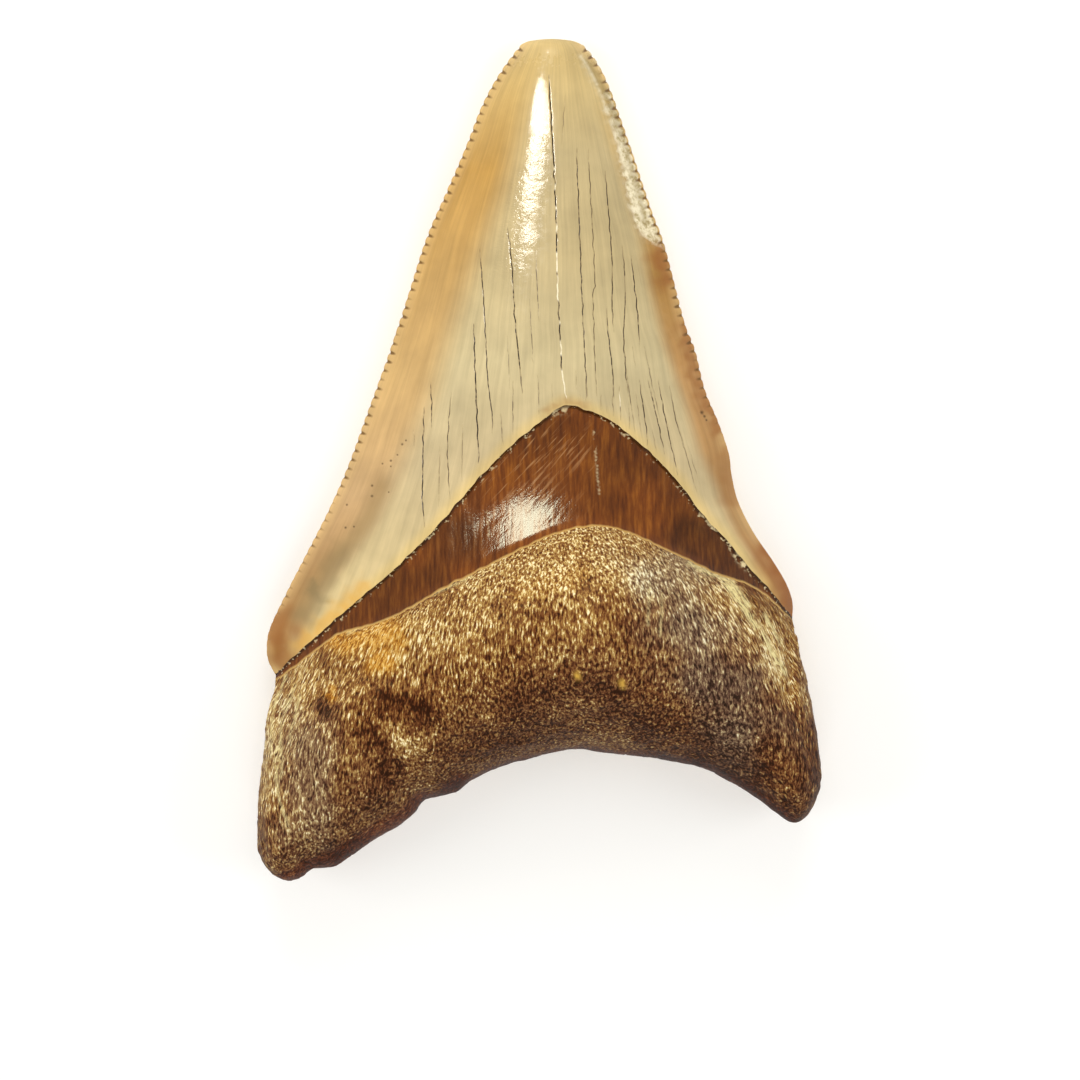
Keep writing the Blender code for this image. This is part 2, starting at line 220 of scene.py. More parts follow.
TIP_RISE = 1.3
CROWN_REST = 6.0
LABIAL_FLANK = 5.0
LABIAL_START = -1.0
LABIAL_SWELL = 4.0
LABIAL_NECK = (1.0, 8.0)
LABIAL_LUMP_HEIGHT = 0.22
HOLLOW_DEPTH = 1.1
HOLLOW_HALF_WIDTH = 12.0
THINNEST = 0.05
REST_FLAT = 0.2
BORDER_WANDER = 0.14
BORDER_GRAIN = 1.2
BORDER_SEED = 5.0
VALLEY = [(-16.5, -2.8), (-18.2, -6.7), (-21.2, -10.4), (-23.8, -13.8), (-24.8, -16.5)]
VALLEY_DEPTH = 0.3
VALLEY_HALF_WIDTH = 1.2
FLAKE_WIDTH = [
    (22.0, 0.0), (23.2, 1.8), (26.0, 2.2), (29.0, 1.8), (33.0, 1.3), (36.0, 1.0), (38.5, 0.6),
    (39.5, 0.0)]
FLAKE_DEPTH = 0.12
FLAKE_GRAIN = 1.1
FLAKE_SEED = 2.0
FLAKE_RAGGEDNESS = 0.5
FLAKE_EDGE = 0.2
SPECKS = [
    (-14.0, 2.0, 0.16), (-14.4, 1.6, 0.2), (-14.9, 0.5, 0.15), (-15.6, -0.1, 0.2), (-16.5, -0.4, 0.16),
    (-15.6, -0.7, 0.14), (-17.6, -2.7, 0.2), (-17.6, -3.8, 0.22), (-15.8, -3.4, 0.14),
    (-20.3, -4.7, 0.18), (-20.4, -7.1, 0.2), (-19.5, -7.0, 0.16), (17.0, 5.0, 0.3), (17.3, 4.6, 0.22),
    (17.5, 4.2, 0.18)]
SPECK_DEPTH = 0.06
JOIN_POWER = 3.0
LEAST_DISTANCE = 1e-6


def line_height(points, x):
    """Y of a line across the tooth, at x."""
    curve = spline(points)
    return np.interp(x, curve[:, 0], curve[:, 1])


def line_distance(points, x, y):
    """How far a point is above a line across the tooth, about square to the line."""
    ahead = line_height(points, x + 0.5) - line_height(points, x - 0.5)
    return (y - line_height(points, x)) / np.sqrt(1.0 + ahead ** 2)


def line_away(points, x, y):
    """How far a point is from a line through the points, to either side."""
    away, _, _ = finder(spline(points))(x, y)
    return away


def smoothstep(low, high, value):
    t = np.clip((value - low) / (high - low), 0.0, 1.0)
    return t * t * (3.0 - 2.0 * t)


def round_over(t):
    """Quarter round: 0 at the rim, 1 and level from t = 1 inwards."""
    return np.sqrt(1.0 - (1.0 - np.clip(t, 0.0, 1.0)) ** 2)


def joined_distance(distances):
    """Distance from several edges at once, with no crease where the nearest edge changes."""
    return sum((d + LEAST_DISTANCE) ** -JOIN_POWER for d in distances) ** (-1.0 / JOIN_POWER)


def rim_height(x, y):
    """Height of the edge where the lingual and labial faces meet."""
    root = smoothstep(-RIM_CHANGE, RIM_CHANGE, -line_distance(ROOT_BORDER, x, y))
    return CUTTING_EDGE_HEIGHT + (ROOT_RIM_HEIGHT - CUTTING_EDGE_HEIGHT) * root


def lumps(x, y, seed):
    """Low swellings of the root, longer along the tooth than across it, from -1 to 1."""
    places = zip(x / LUMP_SIZE, y / LUMP_LENGTH)
    return np.array([noise.noise(Vector((a, b, seed))) for a, b in places])


def border_wander(x):
    """How far the enamel's broken edge strays above or below its border, at x."""
    return BORDER_WANDER * np.array([noise.noise(Vector((BORDER_GRAIN * a, 0.0, BORDER_SEED))) for a in x])


def ragged_distance(border, x, y):
    """How far a point is above a border whose line is as ragged as the enamel's broken edge."""
    return line_distance(border, x, y) - border_wander(x)


def flaked(x, y):
    """Where the enamel's surface has flaked off along the right cutting edge, from 0 to 1."""
    places = zip(FLAKE_GRAIN * x, FLAKE_GRAIN * y)
    ragged = np.array([noise.noise(Vector((a, b, FLAKE_SEED))) for a, b in places])
    width = np.interp(y, *zip(*FLAKE_WIDTH)) + FLAKE_RAGGEDNESS * ragged
    share = smoothstep(FLAKE_EDGE, -FLAKE_EDGE, from_right_edge(x, y)[0] - width)
    return share * (x > 0.0) * (y > FLAKE_WIDTH[0][0])


def speckled(x, y):
    """How much of a dark pinprick is at each point, from 0 to 1."""
    speck = np.zeros(len(x))
    for a, b, size in SPECKS:
        speck = np.maximum(speck, np.clip(1.0 - np.hypot(x - a, y - b) / size, 0.0, 1.0))
    return speck


def lingual(x, y):
    """Height of the upper face."""
    below_enamel = -ragged_distance(ENAMEL_BORDER, x, y)
    in_root = -line_distance(ROOT_BORDER, x, y)
    rim = rim_height(x, y)
    bow = FULL_FLANK + (HOLLOW_FLANK - FULL_FLANK) * smoothstep(0.0, FLANK_CHANGE, -below_enamel)
    flatness = line_height(MIDDLE_FLATNESS, y)
    aside = across(x, y)
    aside = aside - CREST_SHIFT * smoothstep(*CREST_SHIFT_RANGE, y) * (1.0 - aside ** 2)
    blade = (line_height(BLADE_TOP, y) - rim) * (1.0 - np.abs(aside) ** flatness) ** bow
    blade = blade * round_over((TIP[1][1] - y) / TIP_ROUNDING)
    sides = [from_left_side(x, y)[0], from_right_side(x, y)[0]]
    base = from_base(x, y)[0]
    flank = round_over(joined_distance(sides + [base * SIDE_FLANK / BASAL_FLANK]) / SIDE_FLANK)
    torus = np.exp(-((x - TORUS_MIDDLE) / TORUS_HALF_WIDTH) ** 2)
    root = (LOBE_TOP + (TORUS_TOP - LOBE_TOP) * torus - rim) * flank
    root = root + LUMP_HEIGHT * lumps(x, y, LINGUAL_LUMP_SEED) * flank
    share = smoothstep(ROOT_START, ROOT_SWELL, in_root)
    height = rim + (1.0 - share) * blade + share * root
    step = ENAMEL_STEP * np.clip(below_enamel / ENAMEL_STEP_WIDTH, 0.0, 1.0) * (1.0 - share)
    neck = NECK_HOLLOW * smoothstep(0.0, NECK_EASE, below_enamel)
    neck = neck * (1.0 - smoothstep(*NECK_END, in_root))
    brow = ROOT_BROW * smoothstep(*BROW_RISE, in_root) * (1.0 - share)
    valley = VALLEY_DEPTH * np.exp(-(line_away(VALLEY, x, y) / VALLEY_HALF_WIDTH) ** 2)
    eased = (brow - step - neck - valley) * smoothstep(0.0, RIM_EASE, joined_distance(sides + [base]))
    return height + eased - FLAKE_DEPTH * flaked(x, y) - SPECK_DEPTH * speckled(x, y)


def labial(x, y):
    """Height of the lower face."""
    crown = CUTTING_EDGE_HEIGHT * np.abs(across(x, y)) ** LABIAL_BOW
    crown = crown + TIP_RISE * ((y - CROWN_REST) / (TIP[1][1] - CROWN_REST)) ** 2
    edges = [find(x, y)[0] for find in (from_left_side, from_right_side, from_base)]
    flank = round_over(joined_distance(edges) / LABIAL_FLANK)
    in_root = -line_distance(LABIAL_BORDER, x, y)
    hollow = HOLLOW_DEPTH * np.exp(-((x - TORUS_MIDDLE) / HOLLOW_HALF_WIDTH) ** 2)
    root = ROOT_RIM_HEIGHT * (1.0 - flank) + hollow
    root = root + LABIAL_LUMP_HEIGHT * lumps(x, y, LABIAL_LUMP_SEED)
    share = smoothstep(LABIAL_START, LABIAL_SWELL, in_root)
    step = ENAMEL_STEP * np.clip(in_root / ENAMEL_STEP_WIDTH, 0.0, 1.0)
    step = step * (1.0 - smoothstep(*LABIAL_NECK, in_root))
    height = (1.0 - share) * crown + share * root + step - REST_FLAT
    return np.clip(height, 0.0, rim_height(x, y) - THINNEST)


# Growth cracks
# Hairline cracks that run up the enamel from the neck, a tenth of a millimetre or two wide and
# filled with mineral, dark or in stretches pale. Each has its strength from 0 to 1, then its course
# from the top down. A pale stretch names its crack, then the Y of its top and bottom.

GROWTH_CRACKS = [
    (0.75, [(-3.4, 24.2), (-2.9, 19.8), (-2.6, 14.5), (-2.1, 9.6), (-1.8, 6.6)]),
    (0.90, [(0.9, 40.4), (1.6, 27.3), (1.8, 18.3), (2.1, 12.5), (2.3, 8.8), (2.8, 6.1)]),
    (0.60, [(3.8, 32.6), (4.2, 21.3), (4.5, 13.5), (4.9, 6.3)]),
    (0.40, [(5.0, 32.6), (5.7, 19.0), (5.5, 17.3), (5.7, 9.9), (5.9, 6.3)]),
    (0.55, [(6.8, 30.4), (7.5, 20.8), (7.5, 15.6), (7.7, 13.0)]),
    (0.60, [(6.9, 15.8), (7.1, 12.8), (7.5, 9.3), (7.7, 6.3)]),
    (0.50, [(8.6, 22.5), (8.9, 17.3), (8.7, 12.8), (9.0, 7.9), (9.2, 6.3)]),
    (0.65, [(9.5, 21.4), (10.1, 16.2), (10.4, 11.7)]),
    (0.45, [(9.6, 11.9), (10.0, 9.3)]),
    (0.60, [(-6.3, 22.1), (-5.8, 15.6), (-5.4, 8.2), (-4.9, 4.1), (-5.0, 2.5)]),
    (1.00, [(-6.9, 14.2), (-6.7, 8.5), (-6.5, 3.7), (-6.3, -0.6)]),
    (0.40, [(-1.1, 16.8), (-0.7, 9.7)]),
    (0.40, [(-0.5, 22.1), (-0.1, 13.9)]),
    (0.45, [(-0.2, 8.8), (-0.1, 4.4)]),
    (0.40, [(3.7, 9.3), (3.8, 7.0)]),
    (0.45, [(-2.8, 8.2), (-2.8, 2.3)]),
    (0.50, [(-4.1, 4.8), (-3.8, 1.2)]),
    (0.80, [(-11.4, 8.2), (-11.3, 5.4), (-11.3, 3.2)]),
    (0.75, [(-12.1, 5.6), (-12.2, -0.3), (-12.2, -4.3), (-11.9, -7.2)]),
    (0.45, [(-13.2, 3.3), (-13.1, 1.1)]),
    (0.45, [(-9.2, 7.1), (-9.6, 1.4), (-9.3, -4.4)]),
    (0.60, [(10.3, 8.4), (11.0, 3.4), (11.2, 1.2)]),
    (0.65, [(11.2, 8.4), (12.1, 4.6), (13.0, 0.4)]),
    (0.60, [(12.3, 8.4), (13.0, 4.6), (13.8, 0.8), (14.4, -1.8)]),
    (0.45, [(13.5, 7.9), (14.1, 4.6), (15.0, 1.2)]),
    (0.50, [(4.7, 8.4), (4.8, 5.8)]),
    (0.45, [(6.3, 6.8), (6.3, 4.8)]),
    (0.50, [(7.5, 7.9), (7.6, 4.2)]),
    (0.50, [(8.2, 7.7), (8.4, 3.8)]),
    (0.45, [(9.2, 6.1), (9.3, 2.9)]),
    (0.30, [(2.7, 38.5), (2.2, 32.6)]),
    (0.35, [(6.9, 5.6), (7.0, 4.2)]),
    (0.40, [(8.9, 9.6), (9.6, 4.6), (9.9, 2.6)]),
    (0.35, [(9.9, 7.2), (10.4, 3.4), (10.6, 1.9)]),
    (0.35, [(10.8, 12.0), (12.0, 6.4), (12.7, 3.2)]),
    (0.40, [(11.6, 3.2), (12.2, 0.4)]),
    (0.35, [(14.6, 3.0), (15.8, -1.4), (16.4, -3.6)]),
    (0.30, [(15.4, 1.6), (16.8, -3.0)]),
    (0.35, [(4.1, 7.8), (4.2, 5.8)]),
    (0.30, [(1.2, 7.9), (1.3, 5.6)]),
    (0.30, [(-8.0, 4.0), (-8.1, -2.6)]),
    (0.30, [(-10.4, 1.5), (-10.5, -5.2)]),
    (0.30, [(-3.4, 13.0), (-3.1, 7.0)])]
PALE_STRETCHES = [
    (1, 30.4, 30.0), (1, 28.6, 27.9), (1, 26.2, 25.8), (1, 24.4, 23.5), (1, 21.5, 19.4),
    (1, 18.9, 16.3), (1, 14.3, 13.9), (1, 12.1, 10.8), (1, 9.2, 5.8), (28, 7.0, 5.5)]
CRACK_HALF_WIDTH = 0.09
CRACK_SHOULDER = 0.19
CRACK_STEP = 0.3
CRACK_WANDER = 0.12
CRACK_GRAIN = 1.1
CRACK_SEED_STEP = 7.0
CRACK_TAPER = 3.0
CRACK_END_SHARE = 0.35
CRACK_END_MARGIN = 0.02
PALE_REACH = 1.1


def crack_course(k):
    """The course of one crack in short steps, wandering a little to either side."""
    points = resample(spline(GROWTH_CRACKS[k][1]), CRACK_STEP)
    seed = CRACK_SEED_STEP * k
    wander = [noise.noise(Vector((0.0, y * CRACK_GRAIN, seed))) for y in points[:, 1]]
    points[:, 0] += CRACK_WANDER * np.array(wander)
    return points


CRACK_COURSES = [crack_course(k) for k in range(len(GROWTH_CRACKS))]


def crack_strength(x, y):
    """How open a crack is at each point: 0 off the cracks, fading to 0 at each crack's ends."""
    strength = np.zeros(len(x))
    for (most, _), course in zip(GROWTH_CRACKS, CRACK_COURSES):
        low, high = course.min(axis=0) - CRACK_SHOULDER, course.max(axis=0) + CRACK_SHOULDER
        near = (x > low[0]) & (x < high[0]) & (y > low[1]) & (y < high[1])
        if not near.any():
            continue
        away = np.abs(x[near] - np.interp(y[near], course[::-1, 1], course[::-1, 0]))
        end = np.minimum(y[near] - course[-1, 1], course[0, 1] - y[near])
        taper = CRACK_END_SHARE + (1.0 - CRACK_END_SHARE) * smoothstep(0.0, CRACK_TAPER, end)
        open_here = most * taper * (end > CRACK_END_MARGIN)
        open_here = open_here * np.clip(1.0 - away / CRACK_HALF_WIDTH, 0.0, 1.0)
        strength[near] = np.maximum(strength[near], open_here)
    return strength


def pale_filling(x, y):
    """Where a crack is filled with white mineral: 1 in those stretches of it, 0 elsewhere."""
    pale = np.zeros(len(x))
    for k, top, bottom in PALE_STRETCHES:
        course = CRACK_COURSES[k]
        away = np.abs(x - np.interp(y, course[::-1, 1], course[::-1, 0]))
        pale[(away < PALE_REACH * CRACK_SHOULDER) & (y < top) & (y > bottom)] = 1.0
    return pale


# Mesh of the whole tooth
# One closed skin: the two faces are cut into triangles in plan, raised to their heights and joined
# along the rim. The points are closest where the surface is finest, on serrations, cracks and root.
# A row inside the rim has its distance in from it, then the step along it.

SERRATION_PITCH = 1.0
RIM_POINTS_PER_SERRATION = 8
TIP_STEP = 0.25
ROOT_RIM_STEP = 0.3
EDGE_ROWS = [
    (0.1, 0.125), (0.22, 0.125), (0.36, 0.125), (0.52, 0.125), (0.7, 0.17), (0.92, 0.17),
    (1.18, 0.25), (1.5, 0.3)]
TIP_ROWS = [(0.15, 0.25), (0.35, 0.25), (0.6, 0.3), (0.9, 0.35)]
ARC_STEP = 0.3
CROWN_SPACING = 0.45
ROOT_SPACING = 0.21
FLAKE_SPACING = 0.2
LABIAL_CROWN_SPACING = 0.75
LABIAL_ROOT_SPACING = 0.5
LINE_STEP = 0.3
LEDGE_SHOULDER = 0.25
LINE_MARGIN = 0.9
ROW_CLEARANCE = 0.6
GRID_CLEARANCE = 0.7
ROW_SLACK = 0.97
FLAT_SHARE = 0.9
SEARCH_CELL = 0.35
SAME_POINT = 1e-5
BORDER_MARGIN = 0.3
FLAKE_TRACE = 0.02
SPECK_SIDES = 6
PIT_GAP = 0.1
CRACK_MARGIN = 0.1
SEAM_SHOULDER = 0.2
REACH_X = 32.0
REACH_Y = 46.0


def stations(curve, step):
    """Points along a stretch of the rim, and the way inwards at each."""
    points = resample(curve, step)
    along = np.gradient(points, axis=0)
    along /= np.linalg.norm(along, axis=1)[:, None]
    return points, np.column_stack([-along[:, 1], along[:, 0]])


def arc_rows(radius, flat_step):
    """Rows inside a rounded flank, closer together where it is steep, with the step along each."""
    rows = []
    turn = ARC_STEP / radius
    for k in range(1, round(math.pi / 2 / turn)):
        inset = radius * (1.0 - math.cos(k * turn))
        if radius * math.sin(k * turn) * turn > FLAT_SHARE * flat_step:
            break
        rows.append((inset, ROOT_RIM_STEP))
    return rows


def row_points(curve, rows, from_curve):
    """Rows of points inside a stretch of the rim, and how far apart each row's points are."""
    points, gaps = [], []
    for inset, step in rows:
        on_rim, inwards = stations(curve, step)
        row = (on_rim + inwards * inset)[1:-1]
        row = row[from_curve(row[:, 0], row[:, 1])[0] > ROW_SLACK * inset]
        row = row[inside(row[:, 0], row[:, 1])]
        points.append(row)
        gaps.append(np.full(len(row), min(step, inset)))
    return np.vstack(points), np.concatenate(gaps)


def thin_out(points, gaps, kept):
    """The points, without each one that is too near another or one of those kept."""
    held = {}
    for x, y in kept:
        held.setdefault((int(x // SEARCH_CELL), int(y // SEARCH_CELL)), []).append((x, y))
    result = []
    for (x, y), gap in zip(points.tolist(), (ROW_CLEARANCE * gaps).tolist()):
        i, j = int(x // SEARCH_CELL), int(y // SEARCH_CELL)
        cells = [(i + a, j + b) for a in (-1, 0, 1) for b in (-1, 0, 1)]
        if all((x - p) ** 2 + (y - q) ** 2 > gap * gap for c in cells for p, q in held.get(c, ())):
            held.setdefault((i, j), []).append((x, y))
            result.append((x, y))
    return np.array(result)


def hex_grid(spacing):
    rows = []
    for k, y in enumerate(np.arange(-REACH_Y, REACH_Y, spacing * math.sqrt(3) / 2)):
        x = np.arange(-REACH_X, REACH_X, spacing) + (k % 2) * spacing / 2
        rows.append(np.column_stack([x, np.full(len(x), y)]))
    grid = np.vstack(rows)
    return grid[inside(grid[:, 0], grid[:, 1])]


def clear_of(points, others, gap):
    """The points that are further than the gap from all the others."""
    tree = tree_of(others)
    away = np.array([tree.find((x, y, 0.0))[2] for x, y in points])
    return points[away > gap]


def border_line(border, offset=0.0):
    """Points along a border, or that far above it, a little ragged as the enamel's edge is."""
    curve = resample(spline(border), LINE_STEP)
    along = np.gradient(curve, axis=0)
    along /= np.linalg.norm(along, axis=1)[:, None]
    above = np.column_stack([-along[:, 1], along[:, 0]])
    line = curve + above * (offset + border_wander(curve[:, 0])[:, None])
    x, y = line.T
    return line[np.minimum(from_left_side(x, y)[0], from_right_side(x, y)[0]) > LINE_MARGIN]


def cut_up(rim, rows, row_gaps, grids, lines):
    """Plan of one face cut into triangles: its points, its triangles, and where each point came from."""
    lined = np.vstack(lines)
    rows = thin_out(rows, row_gaps, np.vstack([rim, lined]))
    fixed = np.vstack([rim, lined, rows])
    spread = [clear_of(grid, fixed, GRID_CLEARANCE * spacing) for grid, spacing in grids]
    points = np.vstack([fixed] + spread)
    edges = []
    start = len(rim)
    for line in lines:
        edges += [(start + k, start + k + 1) for k in range(len(line) - 1)]
        start += len(line)
    flat = [Vector(p) for p in points.tolist()]
    found = delaunay_2d_cdt(flat, edges, [list(range(len(rim)))], 1, SAME_POINT)
    return np.array([tuple(v) for v in found[0]]), found[2], found[3]


rim_runs = [
    (TIP_RIM, TIP_STEP), (LEFT_EDGE, SERRATION_PITCH / RIM_POINTS_PER_SERRATION),
    (ROOT_RIM, ROOT_RIM_STEP), (RIGHT_EDGE, SERRATION_PITCH / RIM_POINTS_PER_SERRATION)]
rim = np.vstack([resample(curve, step)[:-1] for curve, step in rim_runs])

edge_rows = [row_points(LEFT_EDGE, EDGE_ROWS, from_left_edge)]
edge_rows.append(row_points(RIGHT_EDGE, EDGE_ROWS, from_right_edge))
edge_rows.append(row_points(TIP_RIM, TIP_ROWS, finder(TIP_RIM)))


def face_rows(radius, spacing):
    """All the rows inside the rim of one face."""
    parts = edge_rows + [row_points(ROOT_RIM, arc_rows(radius, spacing), from_root_rim)]
    return np.vstack([points for points, _ in parts]), np.concatenate([gaps for _, gaps in parts])


def split_grid(border, crown_spacing, root_spacing):
    """A coarse grid above a border and a fine one below it."""
    crown, root = hex_grid(crown_spacing), hex_grid(root_spacing)
    crown = crown[line_distance(border, crown[:, 0], crown[:, 1]) > BORDER_MARGIN * crown_spacing]
    root = root[line_distance(border, root[:, 0], root[:, 1]) < -BORDER_MARGIN * root_spacing]
    return [(crown, crown_spacing), (root, root_spacing)]


def flake_grid(spacing):
    """A fine grid where the enamel has flaked off."""
    fine = hex_grid(spacing)
    fine = fine[(fine[:, 0] > 0.0) & (fine[:, 1] > FLAKE_WIDTH[0][0])]
    return fine[flaked(fine[:, 0], fine[:, 1]) > FLAKE_TRACE]


def speck_rings():
    """A few points around each speck, so that a pit fits there."""
    turns = np.arange(SPECK_SIDES) * math.tau / SPECK_SIDES
    rings = []
    for x, y, size in SPECKS:
        rings.append([(x, y)])
        for radius in (size / 2.0, size):
            rings.append(np.column_stack([x + radius * np.cos(turns), y + radius * np.sin(turns)]))
    return np.vstack(rings)


crack_lines = []
for course in CRACK_COURSES:
    for aside in (-CRACK_SHOULDER, -CRACK_HALF_WIDTH, 0.0, CRACK_HALF_WIDTH, CRACK_SHOULDER):
        line = course + np.array([aside, 0.0])
        above = line_distance(ENAMEL_BORDER, line[:, 0], line[:, 1])
        crack_lines.append(line[above > LEDGE_SHOULDER + CRACK_MARGIN])
crack_lines = [line for line in crack_lines if len(line) > 1]

ledge_offsets = (LEDGE_SHOULDER, 0.0, -ENAMEL_STEP_WIDTH)
ledge = [border_line(ENAMEL_BORDER, offset) for offset in ledge_offsets]
seam = [border_line(ROOT_BORDER, offset) for offset in (SEAM_SHOULDER, 0.0)]
rows, gaps = face_rows(SIDE_FLANK, ROOT_SPACING)
pitted = np.vstack([speck_rings(), flake_grid(FLAKE_SPACING)])
rows = np.vstack([pitted, rows])
gaps = np.concatenate([np.full(len(pitted), PIT_GAP), gaps])
grids = split_grid(ENAMEL_BORDER, CROWN_SPACING, ROOT_SPACING)
upper = cut_up(rim, rows, gaps, grids, ledge + seam + crack_lines)
ledge = [border_line(LABIAL_BORDER, offset) for offset in ledge_offsets]
rows, gaps = face_rows(LABIAL_FLANK, LABIAL_ROOT_SPACING)
grids = split_grid(LABIAL_BORDER, LABIAL_CROWN_SPACING, LABIAL_ROOT_SPACING)
lower = cut_up(rim, rows, gaps, grids, ledge)

places = [np.column_stack([rim, rim_height(rim[:, 0], rim[:, 1])])]
triangles = []
for (points, faces, sources), height, turned in ((upper, lingual, False), (lower, labial, True)):
    on_rim = np.array([bool(source) and source[0] < len(rim) for source in sources])
    own = points[~on_rim]
    index = np.zeros(len(points), int)
    index[on_rim] = [source[0] for source in sources if source and source[0] < len(rim)]
    index[~on_rim] = sum(len(place) for place in places) + np.arange(len(own))
    places.append(np.column_stack([own, height(own[:, 0], own[:, 1])]))
    faces = index[np.array(faces)]
    triangles.append(faces[:, ::-1] if turned else faces)
skin = np.vstack(places)
faces = np.vstack(triangles)
skin_mesh = bpy.data.meshes.new("fossil_tooth")
skin_mesh.from_pydata((skin * MM).tolist(), [], faces.tolist())
skin_mesh.shade_smooth()
tooth = bpy.data.objects.new("fossil_tooth", skin_mesh)
bpy.context.scene.collection.objects.link(tooth)


# What each point of the skin knows
# Sizes that the finish follows: distances in from the cutting edge and the base, above the enamel's
# border and into the root, the root's fibre direction, and how much of each crack, stain and mark is
# there. Each mark has its strength, its radius and the line that it follows.

